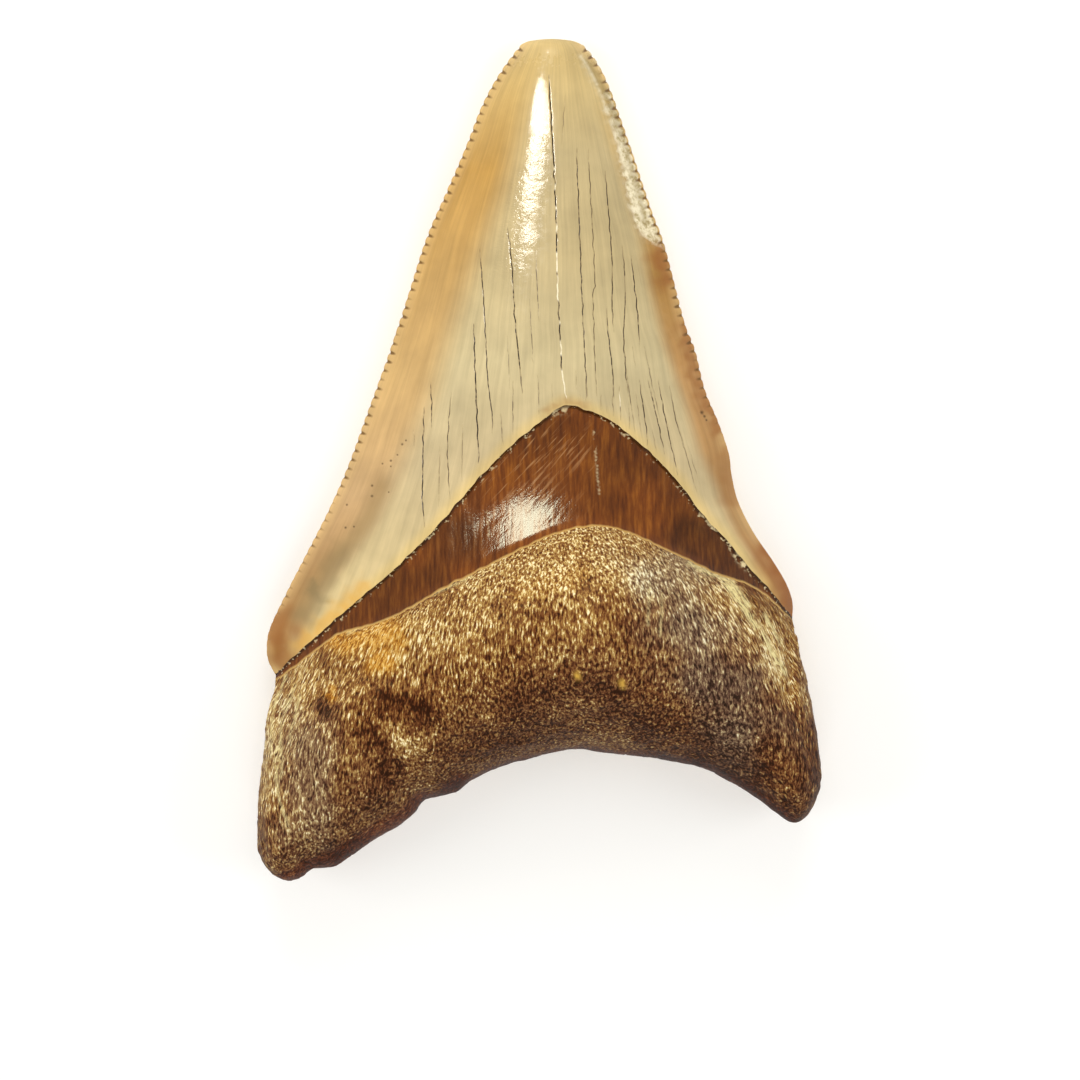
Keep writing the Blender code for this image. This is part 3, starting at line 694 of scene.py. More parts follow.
BODY_LEFT = [
    (0.2, 43.0), (-1.0, 39.0), (-3.8, 28.0), (-6.2, 22.0), (-8.9, 14.4), (-11.2, 7.0), (-14.8, -1.1),
    (-17.7, -6.0), (-20.8, -10.4), (-23.8, -14.5), (-25.8, -18.0)]
BODY_RIGHT = [
    (6.3, 36.8), (10.6, 23.3), (11.5, 18.0), (13.0, 12.0), (15.1, 6.1), (16.7, 0.8), (17.9, -1.7),
    (20.5, -7.7), (22.2, -10.2), (23.2, -12.5), (24.0, -15.5)]
BODY_LEFT_EDGE = 2.2
BODY_RIGHT_EDGE = 1.0
MARKS = {
    "ochre": [
        (0.9, 2.2, [(-20.0, -18.8), (-15.8, -17.6)]), (0.9, 1.7, [(-16.2, -20.6)]),
        (1.0, 0.7, [(-21.7, -24.4)]), (0.25, 1.5, [(-1.5, -13.5), (4.5, -12.0)])],
    "spot": [(1.0, 0.27, [(3.8, -22.1), (3.9, -22.4)]), (1.0, 0.27, [(8.3, -22.9), (8.4, -23.2)])],
    "dark": [
        (2.6, 1.0, [(-22.2, -25.8), (-21.6, -26.2)]), (2.3, 1.15, [(-17.6, -28.0), (-15.6, -31.8)]),
        (1.8, 1.4, [(-15.5, -24.8), (-11.3, -26.5)]), (0.9, 2.2, [(-17.6, -26.0), (-12.0, -25.4)]),
        (0.9, 1.2, [(-10.9, -34.3), (-8.6, -34.0)]),
        (0.45, 4.0, [(-7.0, -24.5), (1.0, -24.0), (7.0, -24.5)]),
        (0.7, 4.0, [(12.0, -28.5), (19.0, -30.5)]), (1.0, 3.6, [(20.0, -33.0), (26.0, -38.5)]),
        (0.7, 3.5, [(21.5, -25.0), (23.5, -30.0)]), (0.6, 3.0, [(13.0, -21.5), (18.0, -22.5)]),
        (0.9, 2.2, [(27.5, -28.0), (28.5, -34.0)]), (0.5, 2.0, [(-24.0, -41.0), (-20.0, -40.5)]),
        (0.75, 3.0, [(-22.0, -18.0), (-12.0, -11.5), (-8.0, -8.0)]),
        (1.5, 3.0, [(16.0, -8.5), (22.0, -12.8)])],
    "grey": [
        (0.9, 4.2, [(13.5, -13.0), (16.5, -18.0), (18.5, -24.0), (21.0, -29.0)]),
        (0.65, 3.6, [(-24.0, -29.0), (-23.0, -38.0)])],
    "gold": [
        (0.9, 1.2, [(18.5, -12.6), (20.5, -14.5), (23.4, -17.8), (24.2, -22.0)]),
        (0.8, 1.2, [(-27.6, -25.0), (-28.3, -30.0), (-28.4, -36.0)]),
        (0.45, 3.4, [(-24.0, -29.0), (-23.0, -37.0)]), (0.4, 2.4, [(-11.0, -17.6), (-13.0, -18.6)]),
        (0.7, 1.3, [(-14.2, -29.0), (-12.0, -28.6)]),
        (0.5, 3.0, [(-4.0, -13.0), (2.0, -11.0), (9.0, -12.0)])],
    "yellow_foot": [(0.8, 0.9, [(-25.0, -19.3), (-22.4, -17.1), (-18.5, -13.6)])],
    # Green marks along the valley low on the left: a green stain, and in part painted shade in the valley.
    "green_stain_and_shade": [
        (0.6, 0.9, [(-23.9, -13.4), (-23.2, -14.4)]), (0.35, 1.4, [(-21.0, -9.8), (-24.4, -16.2)])],
    "crackled": [
        (0.7, 1.3, [(-0.6, 33.0), (-1.5, 30.0)]), (1.0, 1.8, [(-1.9, 28.5), (-3.0, 24.0), (-3.5, 20.0)])],
    "tan": [
        (0.7, 1.7, [(-27.2, -17.6), (-26.6, -20.8)]),
        (0.95, 1.7, [(24.4, -9.6), (25.8, -12.5), (26.3, -16.0)]),
        (0.7, 1.0, [(15.3, 14.0), (17.0, 7.5), (18.8, 3.5)]), (0.8, 1.2, [(12.6, 21.8), (13.4, 19.0)]),
        (0.5, 1.2, [(19.6, 0.5), (20.4, -4.0)]), (0.35, 0.4, [(0.6, 4.9), (2.6, 5.9), (4.8, 5.4)])],
    # A painted highlight along the step where the flaked strip by the right cutting edge begins.
    "facet_highlight": [(0.8, 0.18, [(4.3, 42.4), (6.1, 39.0), (8.0, 33.6), (9.7, 28.5), (10.6, 25.5)])],
    # Painted shade on the flaked strip just outside that step.
    "olive_shade": [
        (0.6, 0.5, [(5.0, 41.8), (7.0, 38.2), (8.6, 34.2)]),
        (0.5, 0.35, [(8.6, 34.2), (10.3, 28.4), (11.0, 25.0)])],
    "scratched": [(1.0, 3.2, [(-1.5, -2.0), (0.8, 0.8)])],
    # Pale lines and crumbs on the neck, and painted highlight chips along the enamel's border on the right.
    "pale_line_and_highlight": [
        (0.6, 0.07, [(5.5, 3.8), (5.8, 0.0), (6.1, -3.6)]), (0.5, 0.07, [(-5.5, -5.5), (-5.3, -8.0)]),
        (0.9, 0.2, [(16.6, -5.8), (18.6, -7.9)]), (1.0, 0.25, [(20.4, -10.0), (21.5, -11.3)]),
        (0.7, 0.3, [(1.6, 4.8), (3.0, 5.1)])],
    "ridge": [
        (0.8, 0.2, [(15.4, -10.8), (18.2, -12.1), (20.0, -12.8)]),
        (0.6, 0.15, [(-20.0, -18.1), (-7.0, -12.1)]),
        (0.7, 0.14, [(-26.6, -22.5), (-27.9, -26.5), (-28.0, -31.0)]),
        (0.6, 0.14, [(-25.6, -23.5), (-26.9, -27.5), (-26.8, -33.0)]),
        (0.7, 0.14, [(-27.4, -30.0), (-27.2, -34.5), (-26.0, -38.0)]),
        (0.5, 0.14, [(-24.9, -24.5), (-26.0, -29.0)]),
        (1.0, 0.32, [(19.2, -12.9), (20.8, -14.9), (22.4, -17.4)]),
        (1.0, 0.22, [(19.9, -12.9), (21.6, -15.2)]),
        (1.0, 0.28, [(23.1, -18.2), (24.4, -20.6), (25.4, -22.3)]),
        (0.9, 0.22, [(23.4, -16.2), (25.0, -19.0)]),
        (0.5, 0.14, [(11.2, -13.0), (11.0, -17.0)]), (0.4, 0.14, [(12.5, -14.0), (12.2, -18.2)])]}
MARK_REACH = 2.5
MARK_RAGGEDNESS = 0.9
MARK_SEED = 6.0
MARK_LENGTH = 0.01
RIM_BAND = [
    (-30.0, 0.6), (-27.0, 1.2), (-22.0, 1.7), (-15.0, 1.6), (-12.0, 1.0), (-10.5, 0.7), (-9.8, 1.5),
    (-8.4, 1.5), (-7.4, 0.5), (0.0, 0.4), (10.0, 0.6), (20.0, 0.8), (27.0, 0.8)]
RIM_EDGE = (0.5, -0.4)
RIM_RAGGEDNESS = 0.25
RIM_GRAIN = 0.9
RIM_SEED = 11.0
LEFT_SHARPNESS = [(-20.0, 0.2), (-16.0, 0.45), (-5.0, 0.6), (2.0, 1.0)]
RIGHT_SHARPNESS = [(-3.0, 0.08), (2.5, 0.2), (7.0, 0.75), (10.0, 1.0)]
GROWTH_SPREAD = 20.0
FAN_MIDDLE = 2.0
FAN_LENGTH = 7.0
FAN_LEFT = 0.2
FAN_RIGHT = 0.5

x, y, z = skin.T
on_upper = np.arange(len(skin)) < len(places[0]) + len(places[1])


def put(name, kind, values, domain="POINT"):
    """Stores one value for each point or face of the skin."""
    attribute = skin_mesh.attributes.new(name, kind, domain)
    field = "vector" if kind == "FLOAT_VECTOR" else "value"
    attribute.data.foreach_set(field, np.asarray(values, bool if kind == "BOOLEAN" else np.float32).ravel())


def marked(kind, x, y):
    """How much of one kind of mark is at each point: most in its middle, with a ragged soft edge."""
    amount = np.zeros(len(x))
    for most, radius, course in MARKS[kind]:
        course = np.array(course)
        from_middle = np.hypot(x - course[:, 0].mean(), y - course[:, 1].mean())
        near = from_middle < MARK_REACH * radius + np.ptp(course, axis=0).max()
        line = np.vstack([course, course + MARK_LENGTH]) if len(course) == 1 else course
        away = line_away(line, x[near], y[near])
        spots = zip(x[near] / radius, y[near] / radius)
        ragged = np.array([noise.noise(Vector((a, b, MARK_SEED))) for a, b in spots])
        away = np.maximum(away + MARK_RAGGEDNESS * radius * ragged, 0.0)
        amount[near] = np.maximum(amount[near], most * np.exp(-(away / radius) ** 2))
    return amount


def serration_run(curve, run):
    """The run along a cutting edge, stretched a little so that a whole number of serrations fits."""
    length = np.linalg.norm(np.diff(curve, axis=0), axis=1).sum()
    return run * round(2.0 * length / SERRATION_PITCH) / 2.0 * SERRATION_PITCH / length


def sharpness(x, y):
    """How sharp the serrations still are: worn a little low on the left, worn away low on the right."""
    left = np.interp(y, *zip(*LEFT_SHARPNESS))
    return np.where(x < 0.0, left, np.interp(y, *zip(*RIGHT_SHARPNESS)))


left_inset, left_run, left_inwards = from_left_edge(x, y)
right_inset, right_run, right_inwards = from_right_edge(x, y)
left_nearer = left_inset < right_inset
inwards = np.where(left_nearer[:, None], left_inwards, right_inwards)
left_run = serration_run(LEFT_EDGE, left_run)
right_run = serration_run(RIGHT_EDGE, right_run)
above_border = np.where(on_upper, ragged_distance(ENAMEL_BORDER, x, y), ragged_distance(LABIAL_BORDER, x, y))
root_depth = -np.where(on_upper, ragged_distance(ROOT_BORDER, x, y), ragged_distance(LABIAL_BORDER, x, y))
below_neck = np.where(on_upper, line_height(ROOT_BORDER, x), line_height(LABIAL_BORDER, x)) - y
fanned = 1.0 - np.exp(-np.clip(below_neck, 0.0, None) / FAN_LENGTH)
fan = np.where(x > FAN_MIDDLE, FAN_RIGHT, FAN_LEFT) * fanned
left_body = np.interp(y, *zip(*sorted((b, a) for a, b in BODY_LEFT)))
right_body = np.interp(y, *zip(*sorted((b, a) for a, b in BODY_RIGHT)))
rim_places = zip(RIM_GRAIN * x, RIM_GRAIN * y)
rim_ragged = np.array([noise.noise(Vector((a, b, RIM_SEED))) for a, b in rim_places])
rim_width = np.interp(x, *zip(*RIM_BAND)) + RIM_RAGGEDNESS * rim_ragged

put("edge_inset", "FLOAT", np.minimum(left_inset, right_inset) * MM)
put("edge_run", "FLOAT", np.where(left_nearer, left_run, right_run) * MM)
put("edge_inwards", "FLOAT_VECTOR", np.column_stack([inwards, np.zeros(len(x))]))
put("sharpness", "FLOAT", sharpness(x, y))
put("growth", "FLOAT_VECTOR", np.column_stack([GROWTH_SPREAD * across(x, y), y, 0.0 * z]) * MM)
put("above_border", "FLOAT", above_border * MM)
put("root_depth", "FLOAT", root_depth * MM)
put("rim_band", "FLOAT", smoothstep(*RIM_EDGE, from_base(x, y)[0] - rim_width))
put("fibre", "FLOAT_VECTOR", np.column_stack([FAN_MIDDLE + (x - FAN_MIDDLE) / (1.0 + fan), y, z]) * MM)
put("left_flank", "FLOAT", smoothstep(-BODY_LEFT_EDGE, BODY_LEFT_EDGE, left_body - x))
put("right_flank", "FLOAT", smoothstep(-BODY_RIGHT_EDGE, BODY_RIGHT_EDGE, x - right_body))
put("crack", "FLOAT", np.where(on_upper, crack_strength(x, y), 0.0))
put("pale_filling", "FLOAT", np.where(on_upper, pale_filling(x, y), 0.0))
put("speck", "FLOAT", np.where(on_upper, speckled(x, y), 0.0))
put("flake", "FLOAT", np.where(on_upper, flaked(x, y), 0.0))
# The valley's mask also places the enamel's painted shade there.
put("valley", "FLOAT", np.exp(-(line_away(VALLEY, x, y) / VALLEY_HALF_WIDTH) ** 2))
for kind in MARKS:
    put(kind, "FLOAT", np.where(on_upper, marked(kind, x, y), 0.0))

x, y, z = skin[faces].mean(axis=1).T
upper_face = np.arange(len(faces)) < len(triangles[0])
crown_side = np.where(
    upper_face, ragged_distance(ENAMEL_BORDER, x, y), ragged_distance(LABIAL_BORDER, x, y))
is_enamel = crown_side > 0.0
is_root = np.where(upper_face, ragged_distance(ROOT_BORDER, x, y) < 0.0, ~is_enamel)
put("is_enamel", "BOOLEAN", is_enamel, "FACE")
put("is_root", "BOOLEAN", is_root, "FACE")
put("is_neck", "BOOLEAN", ~is_enamel & ~is_root, "FACE")


# Enamel and its serrated cutting edges
# The crown's hard glassy cover, grown over both of its faces. Fine saw teeth run along both edges,
# a millimetre apart, each crest a small rounded bead. The notch between two crests runs on as a
# shallow groove a little way up both faces.

SERRATION_DEPTH = 0.11
NOTCH_NARROWNESS = 2.5
NOTCH_FADE = 3.0
GROOVE_DEPTH = 0.06
GROOVE_REACH = 1.2
GROOVE_FROM_RIM = 0.2
NOTCH_STAIN_REACH = 0.9
NOTCH_STAIN_NARROWNESS = 3.5
SERRATION_UNEVENNESS = 0.5
SERRATION_PATCHINESS = 0.43

CROWN_SPAN = {"From Min": -24.0 * MM, "From Max": 44.0 * MM}
BODY_COLOURS = [
    (0.10, "#D2BC88"), (0.35, "#C6B288"), (0.50, "#C9B88C"), (0.66, "#C0AC7E"), (0.82, "#C0AC7E"),
    (1.0, "#CEB274")]
LEFT_COLOURS = [
    (0.06, "#9C6D30"), (0.30, "#C8A474"), (0.48, "#CCA76C"), (0.80, "#BB9048"), (1.0, "#CEB274")]
RIGHT_COLOURS = [
    (0.12, "#9A5E2A"), (0.25, "#AB824E"), (0.48, "#BC9058"), (0.64, "#A87E3C"), (0.95, "#CEB274")]
BAND_COLOUR = "#DFBE70"
BAND_WIDTH = 1.5
BAND_STRENGTH = 0.55
CREST_COLOUR = "#DDB87C"
CREST_WIDTH = 1.2
CREST_STRENGTH = 0.6
# Colours laid over the enamel, with how much of each: stains, and painted light among them. The valley's
# colour is painted shade in the shallow valley low on the left.
STAINS_AND_PAINTED_LIGHT = [
    ("valley", "#9A7C4E", 0.65), ("yellow_foot", "#D9A850", 1.0), ("tan", "#945A24", 1.0),
    ("green_stain_and_shade", "#7C6C48", 1.0), ("speck", "#2A1A08", 0.9), ("olive_shade", "#8F7A48", 1.0),
    ("facet_highlight", "#F6EBCB", 0.6)]
NOTCH_STAIN = "#6A4A22"
NOTCH_STAIN_RANGE = {"From Min": 0.15, "From Max": 0.6, "To Max": 0.85}
FLAKED_COLOURS = [(0.36, "#AC9A6C"), (0.46, "#D8C9A2"), (0.6, "#F0E4C4")]
MINERAL_COLOURS = [(0.0, "#907644"), (0.5, "#5C4420"), (1.0, "#2A1A08")]
MINERAL_RANGE = {"From Min": 0.04, "From Max": 0.38}
MINERAL_GAPS = {"From Min": 0.36, "From Max": 0.52, "To Min": 0.4, "To Max": 1.0}
PALE_MINERAL = "#F6EBCB"
USUAL_NOISE = {"From Min": 0.3, "From Max": 0.7}
CLOUD_SIZE = 4.545
CLOUD_SHADES = {"To Min": 0.89, "To Max": 1.08}
GROWTH_LINE_WIDTH = 0.7692
GROWTH_LINE_LENGTH = 16.67
GROWTH_LINE_SHADES = {"To Min": 0.88, "To Max": 1.1}
FLAKED_GRAIN = 0.6667
MINERAL_GRAIN = 0.7692
WRINKLE_SIZE = 0.6667
WRINKLE_DEPTH = 0.09
POLISH_GRAIN = 0.5556
POLISH_DEPTH = 0.008
POLISH = {"To Min": 0.08, "To Max": 0.22}
DULL = 0.9
WORN_TIP = {"From Min": 43.6 * MM, "From Max": 44.6 * MM, "To Max": 0.55}
WORN_TIP_RAGGEDNESS = 4.0
ENAMEL_IOR = 1.6


def colour(code):
    """An sRGB hex colour as the linear values that Blender takes."""
    parts = [int(code[k:k + 2], 16) / 255.0 for k in (1, 3, 5)]
    linear = [c / 12.92 if c <= 0.04045 else ((c + 0.055) / 1.055) ** 2.4 for c in parts]
    return (*linear, 1.0)


def node(tree, kind, inputs=(), stops=(), **settings):
    """Adds a node to a tree, with its settings and its inputs: each a value, a socket or a node.
    A node stands for its first output, or for the third, its colour, where it mixes colours."""
    made = tree.nodes.new(kind)
    for name, value in settings.items():
        setattr(made, name, value)
    if stops:
        ramp = made.color_ramp.elements
        while len(ramp) < len(stops):
            ramp.new(1.0)
        for element, (place, code) in zip(ramp, stops):
            element.position = place
            element.color = colour(code)
    for key, value in dict(inputs).items():
        if isinstance(value, bpy.types.Node):
            value = value.outputs[2 if getattr(value, "data_type", "") == "RGBA" else 0]
        if isinstance(value, bpy.types.NodeSocket):
            tree.links.new(value, made.inputs[key])
        else:
            made.inputs[key].default_value = value
    return made


MATH = "ShaderNodeMath"
VECTOR = "ShaderNodeVectorMath"
RANGE = "ShaderNodeMapRange"
NOISE = "ShaderNodeTexNoise"
MAPPING = "ShaderNodeMapping"
RAMP = "ShaderNodeValToRGB"
MIX = "ShaderNodeMix"
BUMP = "ShaderNodeBump"
ATTRIBUTE = "ShaderNodeAttribute"
STORED = "GeometryNodeInputNamedAttribute"


def start_tree(name, sizes):
    """An empty Geometry Nodes tree with a geometry, a finish and the named sizes going in."""
    tree = bpy.data.node_groups.new(name, "GeometryNodeTree")
    tree.interface.new_socket("Geometry", in_out="INPUT", socket_type="NodeSocketGeometry")
    for size in sizes:
        tree.interface.new_socket(size, in_out="INPUT", socket_type="NodeSocketFloat")
    tree.interface.new_socket("Finish", in_out="INPUT", socket_type="NodeSocketMaterial")
    tree.interface.new_socket("Geometry", in_out="OUTPUT", socket_type="NodeSocketGeometry")
    return tree, tree.nodes.new("NodeGroupInput").outputs


def end_tree(tree, given, geometry, region):
    """The tree's last nodes: the finish goes on the faces of one region."""
    chosen = node(tree, STORED, {"Name": region}, data_type="BOOLEAN")
    real = node(tree, "GeometryNodeRealizeInstances", {"Geometry": geometry})
    done = node(tree, "GeometryNodeSetMaterial", {
        "Geometry": real, "Selection": chosen, "Material": given["Finish"]})
    node(tree, "NodeGroupOutput", {"Geometry": done})


def work(piece, tree, sizes, finish):
    """Puts a tree on a piece with its sizes, set by the identifier of each input."""
    modifier = piece.modifiers.new(tree.name, "NODES")
    modifier.node_group = tree
    for socket in tree.interface.items_tree:
        if socket.in_out == "INPUT" and socket.name in sizes:
            modifier[socket.identifier] = sizes[socket.name]
        if socket.in_out == "INPUT" and socket.name == "Finish":
            modifier[socket.identifier] = finish


def start_material(name, names):
    """A new material: its tree, its shader, the place on the tooth and the stored values it reads."""
    material = bpy.data.materials.new(name)
    material.use_nodes = True
    tree = material.node_tree
    place = node(tree, "ShaderNodeTexCoord").outputs["Object"]
    values = {key: node(tree, ATTRIBUTE, attribute_name=key).outputs["Fac"] for key in names}
    return material, tree, tree.nodes["Principled BSDF"], place, values


def serration_tree():
    """Notches the rim and grooves the faces behind it."""
    sizes = ["Pitch", "Notch Depth", "Groove Depth", "Groove Reach", "Stain Reach", "Unevenness"]
    tree, given = start_tree("serrations", sizes)
    run = node(tree, STORED, {"Name": "edge_run"}, data_type="FLOAT")
    inset = node(tree, STORED, {"Name": "edge_inset"}, data_type="FLOAT")
    inwards = node(tree, STORED, {"Name": "edge_inwards"}, data_type="FLOAT_VECTOR")
    sharp = node(tree, STORED, {"Name": "sharpness"}, data_type="FLOAT")
    normal = node(tree, "GeometryNodeInputNormal")
    turns = node(tree, MATH, {0: run, 1: given["Pitch"]}, operation="DIVIDE")
    angle = node(tree, MATH, {0: turns, 1: math.tau}, operation="MULTIPLY")
    crest = node(tree, MATH, {0: angle}, operation="COSINE")
    hollow = node(tree, RANGE, {"Value": crest, "From Min": 1.0, "From Max": -1.0})
    patchy = node(tree, NOISE, {
        "W": turns, "Scale": SERRATION_PATCHINESS, "Detail": 1.0}, noise_dimensions="1D")
    least = node(tree, MATH, {0: 1.0, 1: given["Unevenness"]}, operation="SUBTRACT")
    most = node(tree, MATH, {0: 1.0, 1: given["Unevenness"]}, operation="ADD")
    uneven = node(tree, RANGE, {
        "Value": patchy, "From Min": 0.25, "From Max": 0.75, "To Min": least, "To Max": most})
    uneven = node(tree, MATH, {0: uneven, 1: sharp}, operation="MULTIPLY")
    near = node(tree, RANGE, {
        "Value": inset, "From Max": given["Groove Reach"], "To Min": 1.0, "To Max": 0.0})
    notch = node(tree, MATH, {0: hollow, 1: NOTCH_NARROWNESS}, operation="POWER")
    fading = node(tree, MATH, {0: near, 1: NOTCH_FADE}, operation="POWER")
    cut = node(tree, MATH, {0: notch, 1: fading}, operation="MULTIPLY")
    cut = node(tree, MATH, {0: cut, 1: uneven}, operation="MULTIPLY")
    depth = node(tree, MATH, {0: cut, 1: given["Notch Depth"]}, operation="MULTIPLY")
    notched = node(tree, VECTOR, {0: inwards, "Scale": depth}, operation="SCALE")
    off_rim = node(tree, RANGE, {"Value": inset, "From Max": GROOVE_FROM_RIM * MM})
    groove = node(tree, MATH, {0: hollow, 1: near}, operation="MULTIPLY")
    groove = node(tree, MATH, {0: groove, 1: off_rim}, operation="MULTIPLY")
    groove = node(tree, MATH, {0: groove, 1: uneven}, operation="MULTIPLY")
    sunk = node(tree, MATH, {0: groove, 1: given["Groove Depth"]}, operation="MULTIPLY")
    sunk = node(tree, MATH, {0: sunk, 1: -1.0}, operation="MULTIPLY")
    grooved = node(tree, VECTOR, {0: normal, "Scale": sunk}, operation="SCALE")
    offset = node(tree, VECTOR, {0: notched, 1: grooved}, operation="ADD")
    deepest = node(tree, MATH, {0: hollow, 1: NOTCH_STAIN_NARROWNESS}, operation="POWER")
    edge = node(tree, RANGE, {"Value": inset, "From Max": given["Stain Reach"], "To Min": 1.0, "To Max": 0.0})
    stained = node(tree, MATH, {0: deepest, 1: edge}, operation="MULTIPLY")
    stained = node(tree, MATH, {0: stained, 1: uneven}, operation="MULTIPLY")
    noted = node(tree, "GeometryNodeStoreNamedAttribute", {
        "Geometry": given["Geometry"], "Name": "notch", "Value": stained}, data_type="FLOAT", domain="POINT")
    moved = node(tree, "GeometryNodeSetPosition", {"Geometry": noted, "Offset": offset})
    end_tree(tree, given, moved, "is_enamel")
    return tree


def polished_enamel():
    """Fossil enamel, tumbled smooth by the sea bed and mineral stained: a cream body, tan flanks,
    a pale band above its border, dark hairline cracks, and a clear wet-looking polish that is worn
    dull at the tip and where the surface has flaked off. Painted shade darkens the valley low on the
    left and the strip outside the flaked step, and a painted highlight runs along that step."""
    material, tree, shader, place, values = start_material("fossil_enamel", (
        "left_flank", "right_flank", "above_border", "edge_inset", "crack", "notch", "flake", "valley",
        "pale_filling", "speck", "tan", "yellow_foot", "facet_highlight", "olive_shade", "green_stain_and_shade", "crackled"))
    growth = node(tree, ATTRIBUTE, attribute_name="growth").outputs["Vector"]
    height = node(tree, "ShaderNodeSeparateXYZ", {0: place}).outputs["Y"]
    along = node(tree, RANGE, {"Value": height, **CROWN_SPAN})
    body = node(tree, RAMP, {0: along}, stops=BODY_COLOURS)
    left = node(tree, RAMP, {0: along}, stops=LEFT_COLOURS)
    right = node(tree, RAMP, {0: along}, stops=RIGHT_COLOURS)
    base = node(tree, MIX, {0: values["left_flank"], 6: body, 7: left}, data_type="RGBA")
    base = node(tree, MIX, {0: values["right_flank"], 6: base, 7: right}, data_type="RGBA")
    band = node(tree, RANGE, {
        "Value": values["above_border"], "From Max": BAND_WIDTH * MM, "To Min": BAND_STRENGTH, "To Max": 0.0},
        interpolation_type="SMOOTHSTEP")
    base = node(tree, MIX, {0: band, 6: base, 7: colour(BAND_COLOUR)}, data_type="RGBA")
    crest = node(tree, RANGE, {
        "Value": values["edge_inset"], "From Max": CREST_WIDTH * MM, "To Min": CREST_STRENGTH, "To Max": 0.0})
    base = node(tree, MIX, {0: crest, 6: base, 7: colour(CREST_COLOUR)}, data_type="RGBA")

    clouds = node(tree, NOISE, {
        "Vector": place, "Scale": 1.0 / (CLOUD_SIZE * MM), "Detail": 3.0, "Roughness": 0.55})
    clouds = node(tree, RANGE, {"Value": clouds, **USUAL_NOISE, **CLOUD_SHADES})
    base = node(tree, VECTOR, {0: base, "Scale": clouds}, operation="SCALE")
    lines = node(tree, MAPPING, {
        "Vector": growth, "Scale": (GROWTH_LINE_WIDTH * MM, GROWTH_LINE_LENGTH * MM, 1.0)},
        vector_type="TEXTURE")
    lines = node(tree, NOISE, {"Vector": lines, "Scale": 1.0, "Detail": 3.0, "Roughness": 0.7})
    lines = node(tree, RANGE, {"Value": lines, **USUAL_NOISE, **GROWTH_LINE_SHADES})
    base = node(tree, VECTOR, {0: base, "Scale": lines}, operation="SCALE")
    flaked_off = node(tree, NOISE, {
        "Vector": place, "Scale": 1.0 / (FLAKED_GRAIN * MM), "Detail": 3.0, "Roughness": 0.7})
    flaked_off = node(tree, RAMP, {0: flaked_off}, stops=FLAKED_COLOURS)
    base = node(tree, MIX, {0: values["flake"], 6: base, 7: flaked_off}, data_type="RGBA")
    for kind, code, most in STAINS_AND_PAINTED_LIGHT:
        amount = node(tree, MATH, {0: values[kind], 1: most}, operation="MULTIPLY")
        base = node(tree, MIX, {0: amount, 6: base, 7: colour(code)}, data_type="RGBA")
    notches = node(tree, RANGE, {"Value": values["notch"], **NOTCH_STAIN_RANGE})
    base = node(tree, MIX, {0: notches, 6: base, 7: colour(NOTCH_STAIN)}, data_type="RGBA")

    broken = node(tree, NOISE, {
        "Vector": place, "Scale": 1.0 / (MINERAL_GRAIN * MM), "Detail": 2.0, "Roughness": 0.6})
    broken = node(tree, RANGE, {"Value": broken, **MINERAL_GAPS})
    filled = node(tree, RANGE, {"Value": values["crack"], **MINERAL_RANGE})
    filled = node(tree, MATH, {0: filled, 1: broken}, operation="MULTIPLY")
    mineral = node(tree, RAMP, {0: filled}, stops=MINERAL_COLOURS)
    filling = node(tree, MIX, {
        0: values["pale_filling"], 6: mineral, 7: colour(PALE_MINERAL)}, data_type="RGBA")
    base = node(tree, MIX, {0: filled, 6: base, 7: filling}, data_type="RGBA")

    fine = node(tree, NOISE, {"Vector": place, "Scale": 1.0 / (POLISH_GRAIN * MM), "Detail": 2.0})
    sheen = node(tree, RANGE, {"Value": fine, **USUAL_NOISE, **POLISH})
    dull = node(tree, MATH, {0: values["crack"], 1: values["flake"]}, operation="MAXIMUM")
    ragged = node(tree, MATH, {0: fine, 1: WORN_TIP_RAGGEDNESS * MM, 2: height}, operation="MULTIPLY_ADD")
    worn_tip = node(tree, RANGE, {"Value": ragged, **WORN_TIP})
    dull = node(tree, MATH, {0: dull, 1: worn_tip}, operation="MAXIMUM")
    sheen = node(tree, MIX, {0: dull, 2: sheen, 3: DULL})
    wrinkles = node(tree, NOISE, {
        "Vector": place, "Scale": 1.0 / (WRINKLE_SIZE * MM), "Detail": 3.0, "Roughness": 0.6})
    wrinkles = node(tree, MATH, {0: wrinkles, 1: values["crackled"]}, operation="MULTIPLY")
    bump = node(tree, BUMP, {"Height": fine, "Distance": POLISH_DEPTH * MM, "Strength": 1.0})
    bump = node(tree, BUMP, {
        "Height": wrinkles, "Distance": WRINKLE_DEPTH * MM, "Strength": 1.0, "Normal": bump})
    tree.links.new(base.outputs[2], shader.inputs["Base Color"])
    tree.links.new(sheen.outputs[0], shader.inputs["Roughness"])
    tree.links.new(bump.outputs[0], shader.inputs["Normal"])
    shader.inputs["IOR"].default_value = ENAMEL_IOR
    return material


enamel = polished_enamel()
work(tooth, serration_tree(), {
    "Pitch": SERRATION_PITCH * MM, "Notch Depth": SERRATION_DEPTH * MM, "Groove Depth": GROOVE_DEPTH * MM,
    "Groove Reach": GROOVE_REACH * MM, "Stain Reach": NOTCH_STAIN_REACH * MM,
    "Unevenness": SERRATION_UNEVENNESS}, enamel)


# Open growth cracks
# The cracks' courses are in the skin already, with the strength of each one stored at its points.
# This sinks them into the enamel, deeper in some places than in others.

CRACK_DEPTH = 0.1
CRACK_RAGGEDNESS = 0.7
CRACK_PATCH = 1.1111


